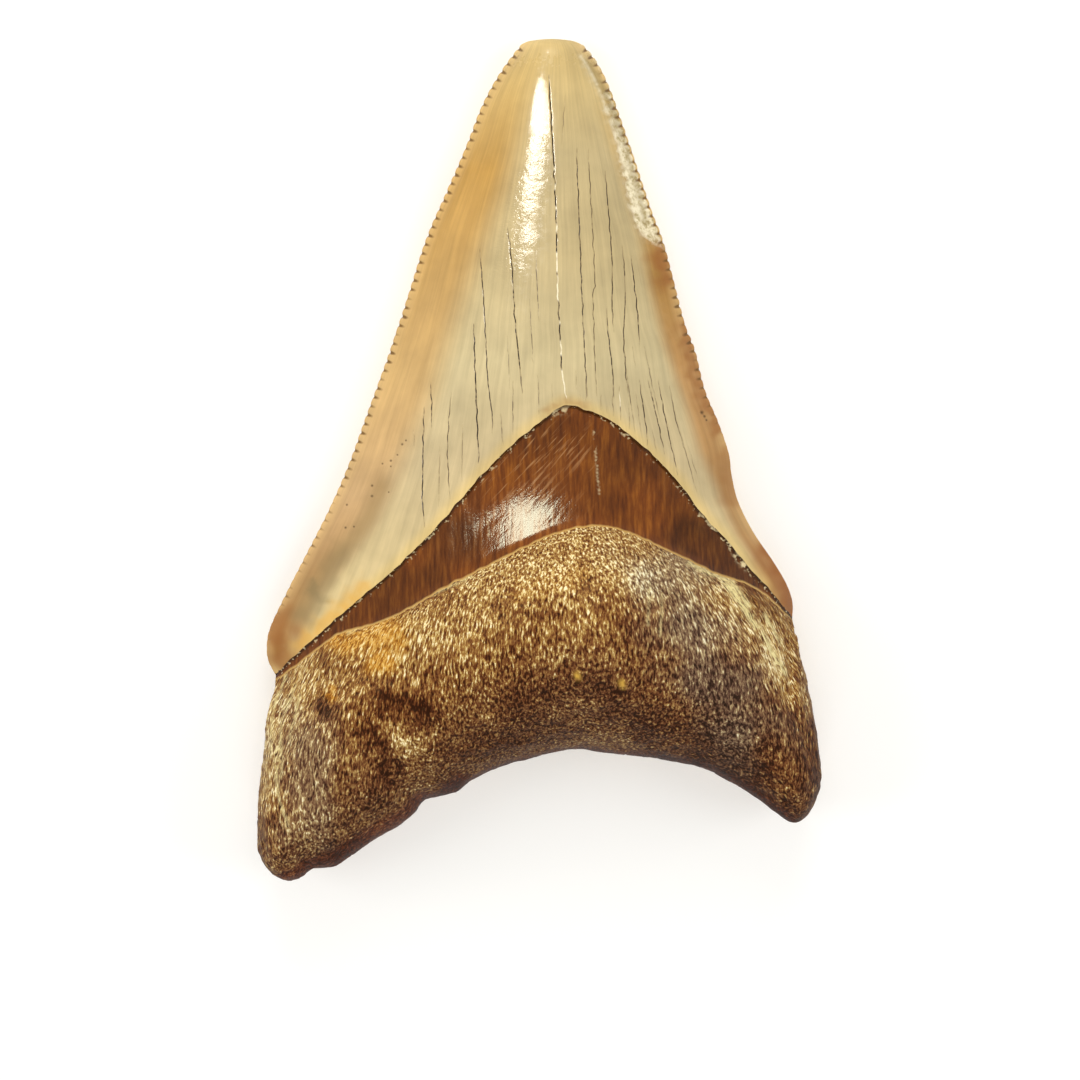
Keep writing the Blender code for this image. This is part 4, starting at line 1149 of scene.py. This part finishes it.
def crack_tree():
    """Sinks the skin along its cracks."""
    tree, given = start_tree("growth_cracks", ["Depth", "Raggedness", "Patch"])
    crack = node(tree, STORED, {"Name": "crack"}, data_type="FLOAT")
    place = node(tree, "GeometryNodeInputPosition")
    closeness = node(tree, MATH, {0: 1.0, 1: given["Patch"]}, operation="DIVIDE")
    patchy = node(tree, NOISE, {"Vector": place, "Scale": closeness, "Detail": 2.0})
    least = node(tree, MATH, {0: 1.0, 1: given["Raggedness"]}, operation="SUBTRACT")
    uneven = node(tree, RANGE, {"Value": patchy, **USUAL_NOISE, "To Min": least, "To Max": 1.0})
    depth = node(tree, MATH, {0: crack, 1: given["Depth"]}, operation="MULTIPLY")
    depth = node(tree, MATH, {0: depth, 1: uneven}, operation="MULTIPLY")
    depth = node(tree, MATH, {0: depth, 1: -1.0}, operation="MULTIPLY")
    normal = node(tree, "GeometryNodeInputNormal")
    offset = node(tree, VECTOR, {0: normal, "Scale": depth}, operation="SCALE")
    moved = node(tree, "GeometryNodeSetPosition", {"Geometry": given["Geometry"], "Offset": offset})
    end_tree(tree, given, moved, "is_enamel")
    return tree


work(tooth, crack_tree(), {
    "Depth": CRACK_DEPTH * MM, "Raggedness": CRACK_RAGGEDNESS, "Patch": CRACK_PATCH * MM}, enamel)


# Neck band
# The bourlette, a band of smooth dark dentine between the enamel and the root, with fine upright
# streaks, old slanting scratches on its left, pale lines and painted highlight chips on its right,
# and a thin pale seam, partly painted highlight, where the root begins.

STREAK_WIDTH = 0.35
STREAK_LENGTH = 3.0
STREAK_DEPTH = 0.012
DENTINE_COLOURS = [(0.3, "#56280A"), (0.5, "#70390E"), (0.7, "#8C5016")]
DENTINE_GRAIN = (0.3846, 3.03, 3.03)
DENTINE_CLOUD_SIZE = 6.25
DENTINE_CLOUDS = {"From Min": 0.35, "From Max": 0.65, "To Min": 0.8, "To Max": 1.15}
DARKENING = {"To Min": 1.0, "To Max": 0.55}
# A pale seam just above the root's border, lightened further as a painted highlight where the root's brow
# bulges.
SEAM_AND_HIGHLIGHT_COLOUR = "#D0A860"
SEAM_AND_HIGHLIGHT_RANGE = {"From Min": -0.25 * MM, "From Max": -0.05 * MM, "To Max": 0.85}
BORDER_SHADOW = "#2A160A"
BORDER_SHADOW_RANGE = {"From Min": -0.4 * MM, "From Max": -0.15 * MM, "To Max": 0.75}
FLECK_COLOUR = "#E3CFA0"
FLECK_SIZE = 0.3846
FLECK_RANGE = {"From Min": 0.6, "From Max": 0.68, "To Max": 0.75}
FLECK_REACH = {"From Min": -0.6 * MM, "From Max": -0.3 * MM}
SCRATCH_COLOUR = "#A9794C"
SCRATCH_TURN = math.radians(48.0)
SCRATCH_LENGTH = 3.2
SCRATCH_GAP = 0.28
SCRATCH_RANGE = {"From Min": 0.56, "From Max": 0.68}
DASH_SIZE = 0.7692
DASH_RANGE = {"From Min": 0.45, "From Max": 0.55}
DENTINE_GLOSS = {"To Min": 0.08, "To Max": 0.24}
WAVE_LENGTH = 2.2
WAVE_WIDTH = 0.7
WAVE_DEPTH = 0.045
DENTINE_GRAIN_DEPTH = 0.02
FINEST_GRAIN = 0.2
FINEST_DEPTH = 0.01
DENTINE_IOR = 1.55
DENTINE_GLOSS_TINT = "#F7FFE8"


def streak_tree():
    """Raises faint upright streaks on the neck."""
    tree, given = start_tree("neck_streaks", ["Streak Width", "Streak Length", "Streak Depth"])
    fibre = node(tree, STORED, {"Name": "fibre"}, data_type="FLOAT_VECTOR")
    split = node(tree, "ShaderNodeSeparateXYZ", {0: fibre})
    wide = node(tree, MATH, {0: split.outputs["X"], 1: given["Streak Width"]}, operation="DIVIDE")
    long = node(tree, MATH, {0: split.outputs["Y"], 1: given["Streak Length"]}, operation="DIVIDE")
    place = node(tree, "ShaderNodeCombineXYZ", {"X": wide, "Y": long})
    streaks = node(tree, NOISE, {"Vector": place, "Scale": 1.0, "Detail": 1.0})
    level = node(tree, MATH, {0: streaks, 1: 0.5}, operation="SUBTRACT")
    height = node(tree, MATH, {0: level, 1: given["Streak Depth"]}, operation="MULTIPLY")
    normal = node(tree, "GeometryNodeInputNormal")
    offset = node(tree, VECTOR, {0: normal, "Scale": height}, operation="SCALE")
    neck = node(tree, STORED, {"Name": "is_neck"}, data_type="BOOLEAN")
    moved = node(tree, "GeometryNodeSetPosition", {
        "Geometry": given["Geometry"], "Selection": neck, "Offset": offset})
    end_tree(tree, given, moved, "is_neck")
    return tree


def smooth_dentine():
    """Fossil dentine, polished by handling: dark brown with a soft gloss that shows its scratches.
    Its finest grain is too thin to show, so it is drawn a fifth of a millimetre wide."""
    material, tree, shader, place, values = start_material("fossil_dentine", (
        "dark", "root_depth", "above_border", "scratched", "pale_line_and_highlight"))
    fibre = node(tree, ATTRIBUTE, attribute_name="fibre").outputs["Vector"]
    drawn = node(tree, MAPPING, {
        "Vector": fibre, "Scale": Vector(DENTINE_GRAIN) * MM}, vector_type="TEXTURE")
    streaks = node(tree, NOISE, {"Vector": drawn, "Scale": 1.0, "Detail": 3.0, "Roughness": 0.6})
    base = node(tree, RAMP, {0: streaks}, stops=DENTINE_COLOURS)
    clouds = node(tree, NOISE, {"Vector": place, "Scale": 1.0 / (DENTINE_CLOUD_SIZE * MM), "Detail": 2.0})
    clouds = node(tree, RANGE, {"Value": clouds, **DENTINE_CLOUDS})
    base = node(tree, VECTOR, {0: base, "Scale": clouds}, operation="SCALE")
    shaded = node(tree, RANGE, {"Value": values["dark"], **DARKENING})
    base = node(tree, VECTOR, {0: base, "Scale": shaded}, operation="SCALE")
    # The pale seam, partly painted highlight on the root's brow.
    seam = node(tree, RANGE, {"Value": values["root_depth"], **SEAM_AND_HIGHLIGHT_RANGE})
    base = node(tree, MIX, {0: seam, 6: base, 7: colour(SEAM_AND_HIGHLIGHT_COLOUR)}, data_type="RGBA")
    shadow = node(tree, RANGE, {"Value": values["above_border"], **BORDER_SHADOW_RANGE})
    base = node(tree, MIX, {0: shadow, 6: base, 7: colour(BORDER_SHADOW)}, data_type="RGBA")
    flecks = node(tree, NOISE, {"Vector": place, "Scale": 1.0 / (FLECK_SIZE * MM), "Detail": 1.0})
    flecks = node(tree, RANGE, {"Value": flecks, **FLECK_RANGE})
    near = node(tree, RANGE, {"Value": values["above_border"], **FLECK_REACH})
    flecks = node(tree, MATH, {0: flecks, 1: near}, operation="MULTIPLY")
    base = node(tree, MIX, {0: flecks, 6: base, 7: colour(FLECK_COLOUR)}, data_type="RGBA")

    slanting = node(tree, MAPPING, {
        "Vector": place, "Rotation": (0.0, 0.0, SCRATCH_TURN),
        "Scale": (SCRATCH_LENGTH * MM, SCRATCH_GAP * MM, SCRATCH_LENGTH * MM)}, vector_type="TEXTURE")
    scratches = node(tree, NOISE, {"Vector": slanting, "Scale": 1.0, "Detail": 2.0})
    scratches = node(tree, RANGE, {"Value": scratches, **SCRATCH_RANGE})
    scratches = node(tree, MATH, {0: scratches, 1: values["scratched"]}, operation="MULTIPLY")
    base = node(tree, MIX, {0: scratches, 6: base, 7: colour(SCRATCH_COLOUR)}, data_type="RGBA")
    # Broken dashes of pale lines, partly painted highlight chips along the border.
    dashes = node(tree, NOISE, {"Vector": place, "Scale": 1.0 / (DASH_SIZE * MM)})
    dashes = node(tree, RANGE, {"Value": dashes, **DASH_RANGE})
    lines = node(tree, MATH, {0: values["pale_line_and_highlight"], 1: dashes}, operation="MULTIPLY")
    base = node(tree, MIX, {0: lines, 6: base, 7: colour(FLECK_COLOUR)}, data_type="RGBA")

    rough = node(tree, RANGE, {"Value": streaks, **USUAL_NOISE, **DENTINE_GLOSS})
    waves = node(tree, MAPPING, {
        "Vector": place, "Rotation": (0.0, 0.0, SCRATCH_TURN),
        "Scale": (WAVE_LENGTH * MM, WAVE_WIDTH * MM, WAVE_LENGTH * MM)}, vector_type="TEXTURE")
    waves = node(tree, NOISE, {"Vector": waves, "Scale": 1.0, "Detail": 3.0, "Roughness": 0.6})
    fine = node(tree, NOISE, {"Vector": place, "Scale": 1.0 / (FINEST_GRAIN * MM), "Detail": 2.0})
    bump = node(tree, BUMP, {"Height": waves, "Distance": WAVE_DEPTH * MM, "Strength": 1.0})
    bump = node(tree, BUMP, {
        "Height": streaks, "Distance": DENTINE_GRAIN_DEPTH * MM, "Strength": 1.0, "Normal": bump})
    bump = node(tree, BUMP, {
        "Height": fine, "Distance": FINEST_DEPTH * MM, "Strength": 1.0, "Normal": bump})
    tree.links.new(base.outputs[2], shader.inputs["Base Color"])
    tree.links.new(rough.outputs[0], shader.inputs["Roughness"])
    tree.links.new(bump.outputs[0], shader.inputs["Normal"])
    shader.inputs["IOR"].default_value = DENTINE_IOR
    shader.inputs["Specular Tint"].default_value = colour(DENTINE_GLOSS_TINT)
    return material


work(tooth, streak_tree(), {
    "Streak Width": STREAK_WIDTH * MM, "Streak Length": STREAK_LENGTH * MM,
    "Streak Depth": STREAK_DEPTH * MM}, smooth_dentine())


# Root
# Porous fossil bone, rough to the touch: bundles of fibres that fan out from the neck to the lobes,
# with pores between them, gold above and dark brown below, in part stain and in part painted light
# and shade, and reddish along the base.

BUNDLE_WIDTH = 1.5
BUNDLE_LENGTH = 4.5
BUNDLE_HEIGHT = 0.2
FIBRE_WIDTH = 0.55
FIBRE_LENGTH = 1.3
FIBRE_HEIGHT = 0.12
FIBRE_SEED = 31.0
PORE_SPACING = 1.1
PORE_DEPTH = 0.15
PORE_OPENING = {"From Min": 0.05, "From Max": 0.28}
ROOT_SEED = 4.0
NECK_FADE = 0.8
RIM_RELIEF = 0.55
TABLE_FADE = 0.5

# The top stops of the bone and ochre ramps, pale gold to cream, are painted glints on the raised fibres.
BONE_COLOURS_AND_GLINTS = [
    (0.35, "#2C1006"), (0.42, "#5A2C16"), (0.50, "#80502A"), (0.59, "#AE8646"), (0.64, "#DFC27C"),
    (0.70, "#FFF0C4")]
OCHRE_COLOURS_AND_GLINTS = [
    (0.38, "#6A380A"), (0.50, "#B07426"), (0.58, "#DAA64C"), (0.66, "#DFC27C"), (0.74, "#FFF0C4")]
RIM_COLOURS = [(0.36, "#2C1006"), (0.50, "#5A2210"), (0.62, "#8E4C2A"), (0.74, "#AE8646")]
RIDGE_COLOUR = "#E6D79A"
SPOT_COLOUR = "#D9AC4A"
HAIR_SIZE = (0.2, 0.8696, 0.2)
RELIEF_SHARE = 0.03
# Painted light and shade down the root: its colour is lifted near the neck, where the surface faces the
# light, and darkened lower down, where it turns away.
PAINTED_DEPTH_LIGHT_AND_SHADE = {"From Min": 0.0, "From Max": 17.0 * MM, "To Min": 0.05, "To Max": -0.04}
BONE_CLOUD_SIZE = 5.263
BONE_CLOUDS = {"To Min": -0.05, "To Max": 0.05}
GOLD_LIFT = 0.08
DARK_DROP = -0.07
GREYING = {"Hue": 0.51, "Saturation": 0.72, "Value": 0.88}
LOW_GREY = {"From Min": 9.0 * MM, "From Max": 18.0 * MM, "To Max": 0.25}
OCHRE_RANGE = {"From Min": 0.1, "From Max": 0.8}
RAISED_RANGE = {"From Min": 0.36, "From Max": 0.5}
RIM_STRENGTH = 0.9
HAIR_DEPTH = 0.16
BONE_ROUGHNESS = 0.33
BONE_IOR = 1.58
BONE_GLOSS = 0.25
BONE_GLOSS_TINT = "#F6DFA0"


def root_tree():
    """Raises the fibres and sinks the pores of the root, and notes the height for the colour."""
    sizes = ["Bundle Width", "Bundle Length", "Bundle Height", "Fibre Width", "Fibre Length", "Fibre Height",
             "Pore Spacing", "Pore Depth", "Seed"]
    tree, given = start_tree("root_fibres", sizes)
    fibre = node(tree, STORED, {"Name": "fibre"}, data_type="FLOAT_VECTOR")
    split = node(tree, "ShaderNodeSeparateXYZ", {0: fibre})
    levels = {}
    heights = []
    for kind, seed in (("Bundle", 0.0), ("Fibre", FIBRE_SEED)):
        wide = node(tree, MATH, {0: split.outputs["X"], 1: given[kind + " Width"]}, operation="DIVIDE")
        long = node(tree, MATH, {0: split.outputs["Y"], 1: given[kind + " Length"]}, operation="DIVIDE")
        deep = node(tree, MATH, {0: split.outputs["Z"], 1: given[kind + " Width"]}, operation="DIVIDE")
        place = node(tree, "ShaderNodeCombineXYZ", {"X": wide, "Y": long, "Z": deep})
        start = node(tree, MATH, {0: given["Seed"], 1: seed}, operation="ADD")
        grain = node(tree, NOISE, {
            "Vector": place, "W": start, "Scale": 1.0, "Detail": 1.5}, noise_dimensions="4D")
        levels[kind] = node(tree, RANGE, {
            "Value": grain, "From Min": 0.2, "From Max": 0.8, "To Min": -1.0, "To Max": 1.0})
        heights.append(node(tree, MATH, {0: levels[kind], 1: given[kind + " Height"]}, operation="MULTIPLY"))
    spaced = node(tree, MATH, {0: 1.0, 1: given["Pore Spacing"]}, operation="DIVIDE")
    pores = node(tree, "ShaderNodeTexVoronoi", {"Vector": fibre, "Scale": spaced})
    pore = node(tree, RANGE, {
        "Value": pores.outputs["Distance"], **PORE_OPENING, "To Min": -1.0, "To Max": 0.0},
        interpolation_type="SMOOTHSTEP")
    heights.append(node(tree, MATH, {0: pore, 1: given["Pore Depth"]}, operation="MULTIPLY"))
    height = node(tree, MATH, {0: heights[0], 1: heights[1]}, operation="ADD")
    height = node(tree, MATH, {0: height, 1: heights[2]}, operation="ADD")
    depth = node(tree, STORED, {"Name": "root_depth"}, data_type="FLOAT")
    share = node(tree, RANGE, {"Value": depth, "From Min": 0.0, "From Max": NECK_FADE * MM})
    height = node(tree, MATH, {0: height, 1: share}, operation="MULTIPLY")
    rim = node(tree, STORED, {"Name": "rim_band"}, data_type="FLOAT")
    worn = node(tree, RANGE, {"Value": rim, "To Min": 1.0, "To Max": RIM_RELIEF})
    height = node(tree, MATH, {0: height, 1: worn}, operation="MULTIPLY")
    position = node(tree, "GeometryNodeInputPosition")
    above_table = node(tree, "ShaderNodeSeparateXYZ", {0: position}).outputs["Z"]
    lifted = node(tree, RANGE, {"Value": above_table, "From Min": 0.0, "From Max": TABLE_FADE * MM})
    height = node(tree, MATH, {0: height, 1: lifted}, operation="MULTIPLY")
    normal = node(tree, "GeometryNodeInputNormal")
    offset = node(tree, VECTOR, {0: normal, "Scale": height}, operation="SCALE")
    relief = node(tree, MATH, {0: levels["Fibre"], 1: pore}, operation="ADD")
    kept = node(tree, "GeometryNodeStoreNamedAttribute", {
        "Geometry": given["Geometry"], "Name": "relief", "Value": relief}, data_type="FLOAT", domain="POINT")
    moved = node(tree, "GeometryNodeSetPosition", {"Geometry": kept, "Offset": offset})
    end_tree(tree, given, moved, "is_root")
    return tree


def rough_bone():
    """Fossil osteodentine: mineral-filled bone whose raised fibres catch the light in gold points, painted
    into its colour as glints over its own soft gloss.
    Its finest hairs are too thin to show, so they are drawn a fifth of a millimetre wide."""
    material, tree, shader, place, values = start_material("fossil_bone", (
        "relief", "root_depth", "ochre", "dark", "grey", "gold", "ridge", "spot", "rim_band"))
    fibre = node(tree, ATTRIBUTE, attribute_name="fibre").outputs["Vector"]
    hairs = node(tree, MAPPING, {"Vector": fibre, "Scale": Vector(HAIR_SIZE) * MM}, vector_type="TEXTURE")
    hairs = node(tree, NOISE, {
        "Vector": hairs, "Scale": 1.0, "Detail": 3.0, "Roughness": 0.65, "Distortion": 0.25})
    level = node(tree, MATH, {0: values["relief"], 1: RELIEF_SHARE, 2: hairs}, operation="MULTIPLY_ADD")
    shade = node(tree, RANGE, {"Value": values["root_depth"], **PAINTED_DEPTH_LIGHT_AND_SHADE})
    level = node(tree, MATH, {0: level, 1: shade}, operation="ADD")
    clouds = node(tree, NOISE, {"Vector": place, "Scale": 1.0 / (BONE_CLOUD_SIZE * MM), "Detail": 3.0})
    clouds = node(tree, RANGE, {"Value": clouds, **USUAL_NOISE, **BONE_CLOUDS})
    level = node(tree, MATH, {0: level, 1: clouds}, operation="ADD")
    level = node(tree, MATH, {0: values["gold"], 1: GOLD_LIFT, 2: level}, operation="MULTIPLY_ADD")
    level = node(tree, MATH, {0: values["dark"], 1: DARK_DROP, 2: level}, operation="MULTIPLY_ADD")
    base = node(tree, RAMP, {0: level}, stops=BONE_COLOURS_AND_GLINTS)
    greyer = node(tree, "ShaderNodeHueSaturation", {"Color": base, **GREYING})
    low = node(tree, RANGE, {"Value": values["root_depth"], **LOW_GREY})
    grey = node(tree, MATH, {0: values["grey"], 1: low}, operation="MAXIMUM")
    base = node(tree, MIX, {0: grey, 6: base, 7: greyer}, data_type="RGBA")
    rusty = node(tree, RAMP, {0: level}, stops=OCHRE_COLOURS_AND_GLINTS)
    ochre = node(tree, RANGE, {"Value": values["ochre"], **OCHRE_RANGE})
    base = node(tree, MIX, {0: ochre, 6: base, 7: rusty}, data_type="RGBA")
    raised = node(tree, RANGE, {"Value": hairs, **RAISED_RANGE})
    raised = node(tree, MATH, {0: values["ridge"], 1: raised}, operation="MULTIPLY")
    base = node(tree, MIX, {0: raised, 6: base, 7: colour(RIDGE_COLOUR)}, data_type="RGBA")
    base = node(tree, MIX, {0: values["spot"], 6: base, 7: colour(SPOT_COLOUR)}, data_type="RGBA")
    reddish = node(tree, RAMP, {0: level}, stops=RIM_COLOURS)
    rim = node(tree, MATH, {0: values["rim_band"], 1: RIM_STRENGTH}, operation="MULTIPLY")
    base = node(tree, MIX, {0: rim, 6: base, 7: reddish}, data_type="RGBA")
    bump = node(tree, BUMP, {"Height": hairs, "Distance": HAIR_DEPTH * MM, "Strength": 1.0})
    tree.links.new(base.outputs[2], shader.inputs["Base Color"])
    tree.links.new(bump.outputs[0], shader.inputs["Normal"])
    shader.inputs["Roughness"].default_value = BONE_ROUGHNESS
    shader.inputs["IOR"].default_value = BONE_IOR
    shader.inputs["Specular IOR Level"].default_value = BONE_GLOSS
    shader.inputs["Specular Tint"].default_value = colour(BONE_GLOSS_TINT)
    return material


work(tooth, root_tree(), {
    "Bundle Width": BUNDLE_WIDTH * MM, "Bundle Length": BUNDLE_LENGTH * MM,
    "Bundle Height": BUNDLE_HEIGHT * MM, "Fibre Width": FIBRE_WIDTH * MM,
    "Fibre Length": FIBRE_LENGTH * MM, "Fibre Height": FIBRE_HEIGHT * MM,
    "Pore Spacing": PORE_SPACING * MM, "Pore Depth": PORE_DEPTH * MM, "Seed": ROOT_SEED}, rough_bone())


# The finished tooth
# The worked skin becomes one plain closed mesh that stands for the whole solid. The enamel keeps
# crisp edges at its cracks and its ledge, and the root is smooth between its points.

CRISP_ANGLE = math.radians(40.0)

graph = bpy.context.evaluated_depsgraph_get()
worked = bpy.data.meshes.new_from_object(
    tooth.evaluated_get(graph), preserve_all_data_layers=True, depsgraph=graph)
tooth.modifiers.clear()
tooth.data = worked
worked.name = "fossil_tooth"
worked.set_sharp_from_angle(angle=CRISP_ANGLE)
root_faces = np.zeros(len(worked.polygons), bool)
worked.attributes["is_root"].data.foreach_get("value", root_faces)
corner_edges = np.zeros(len(worked.loops), np.int32)
worked.loops.foreach_get("edge_index", corner_edges)
sharp = np.zeros(len(worked.edges), bool)
worked.attributes["sharp_edge"].data.foreach_get("value", sharp)
sharp[corner_edges[np.repeat(root_faces, 3)]] = False
worked.attributes["sharp_edge"].data.foreach_set("value", sharp)
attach(tooth, "root")
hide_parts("tooth")


# Floor
# A large plain pale sheet just under the tooth. It isn't mirrored in the tooth's polish, so that
# the enamel and the neck keep their deep colours.

FLOOR_HALF_WIDTH = 4.0
FLOOR_DROP = 0.00005
PAPER_COLOUR = "#FDFDFC"
PAPER_ROUGHNESS = 0.9

corners = [(-1, -1), (1, -1), (1, 1), (-1, 1)]
corners = [(FLOOR_HALF_WIDTH * a, FLOOR_HALF_WIDTH * b, -FLOOR_DROP) for a, b in corners]
floor_mesh = bpy.data.meshes.new("floor")
floor_mesh.from_pydata(corners, [], [(0, 1, 2, 3)])
floor = bpy.data.objects.new("floor", floor_mesh)
bpy.context.scene.collection.objects.link(floor)
paper = bpy.data.materials.new("white_paper")
paper.use_nodes = True
paper_shader = paper.node_tree.nodes["Principled BSDF"]
paper_shader.inputs["Base Color"].default_value = colour(PAPER_COLOUR)
paper_shader.inputs["Roughness"].default_value = PAPER_ROUGHNESS
floor_mesh.materials.append(paper)
floor.visible_glossy = False


# Light
# A small soft light over the upper left, which is mirrored in the polish and throws no shadow. Four
# wide ones all round, not mirrored, throw the faint soft shadow, and a dim white room is above.

KEY_PLACE = Vector((-0.13, 0.40, 0.535))
KEY_WIDTH = 0.30
KEY_LENGTH = 0.20
KEY_POWER = 2.7
KEY_COLOUR = "#FFFCF4"
FILL_REACH = 1.2
FILL_HEIGHT = 0.62
FILL_SIZE = 0.9
FILL_POWER = 5.0
WHITE = "#FFFFFF"
SKY_STRENGTH = 0.3


def soft_light(name, place, width, length, power, tint, mirrored):
    """An area light that faces the tooth. The one that is mirrored in its polish throws no shadow."""
    lamp = bpy.data.lights.new(name, "AREA")
    lamp.shape = "ELLIPSE"
    lamp.size = width
    lamp.size_y = length
    lamp.energy = power
    lamp.color = colour(tint)[:3]
    lamp.use_shadow = not mirrored
    light = bpy.data.objects.new(name, lamp)
    light.location = place
    light.visible_glossy = mirrored
    light.rotation_euler = (-place).to_track_quat("-Z", "Y").to_euler()
    bpy.context.scene.collection.objects.link(light)


soft_light("key", KEY_PLACE, KEY_WIDTH, KEY_LENGTH, KEY_POWER, KEY_COLOUR, True)
for k, (a, b) in enumerate(((-1, 0), (1, 0), (0, -1), (0, 1))):
    fill_place = Vector((a * FILL_REACH, b * FILL_REACH, FILL_HEIGHT))
    soft_light(f"fill_{k + 1}", fill_place, FILL_SIZE, FILL_SIZE, FILL_POWER, WHITE, False)

world = bpy.data.worlds.new("soft_daylight")
world.use_nodes = True
sky = world.node_tree.nodes["Background"]
sky.inputs["Color"].default_value = colour(WHITE)
sky.inputs["Strength"].default_value = SKY_STRENGTH
bpy.context.scene.world = world


# Camera
# Straight above the tooth, at the photograph's scale on the plane of the rim: the picture is as
# many millimetres wide there as the photograph is.

VIEW_WIDTH = 113.4
VIEW_MIDDLE_Y = -8.4
RIM_PLANE = 4.0
CAMERA_DISTANCE = 450.0
SENSOR = 36.0
NEAREST = 0.01
FARTHEST = 20.0

lens = bpy.data.cameras.new("camera")
lens.sensor_width = SENSOR
lens.lens = SENSOR * CAMERA_DISTANCE / VIEW_WIDTH
lens.clip_start = NEAREST
lens.clip_end = FARTHEST
camera = bpy.data.objects.new("camera", lens)
camera.location = Vector((0.0, VIEW_MIDDLE_Y, RIM_PLANE + CAMERA_DISTANCE)) * MM
bpy.context.scene.collection.objects.link(camera)
bpy.context.scene.camera = camera
bpy.context.scene.view_settings.view_transform = "Standard"
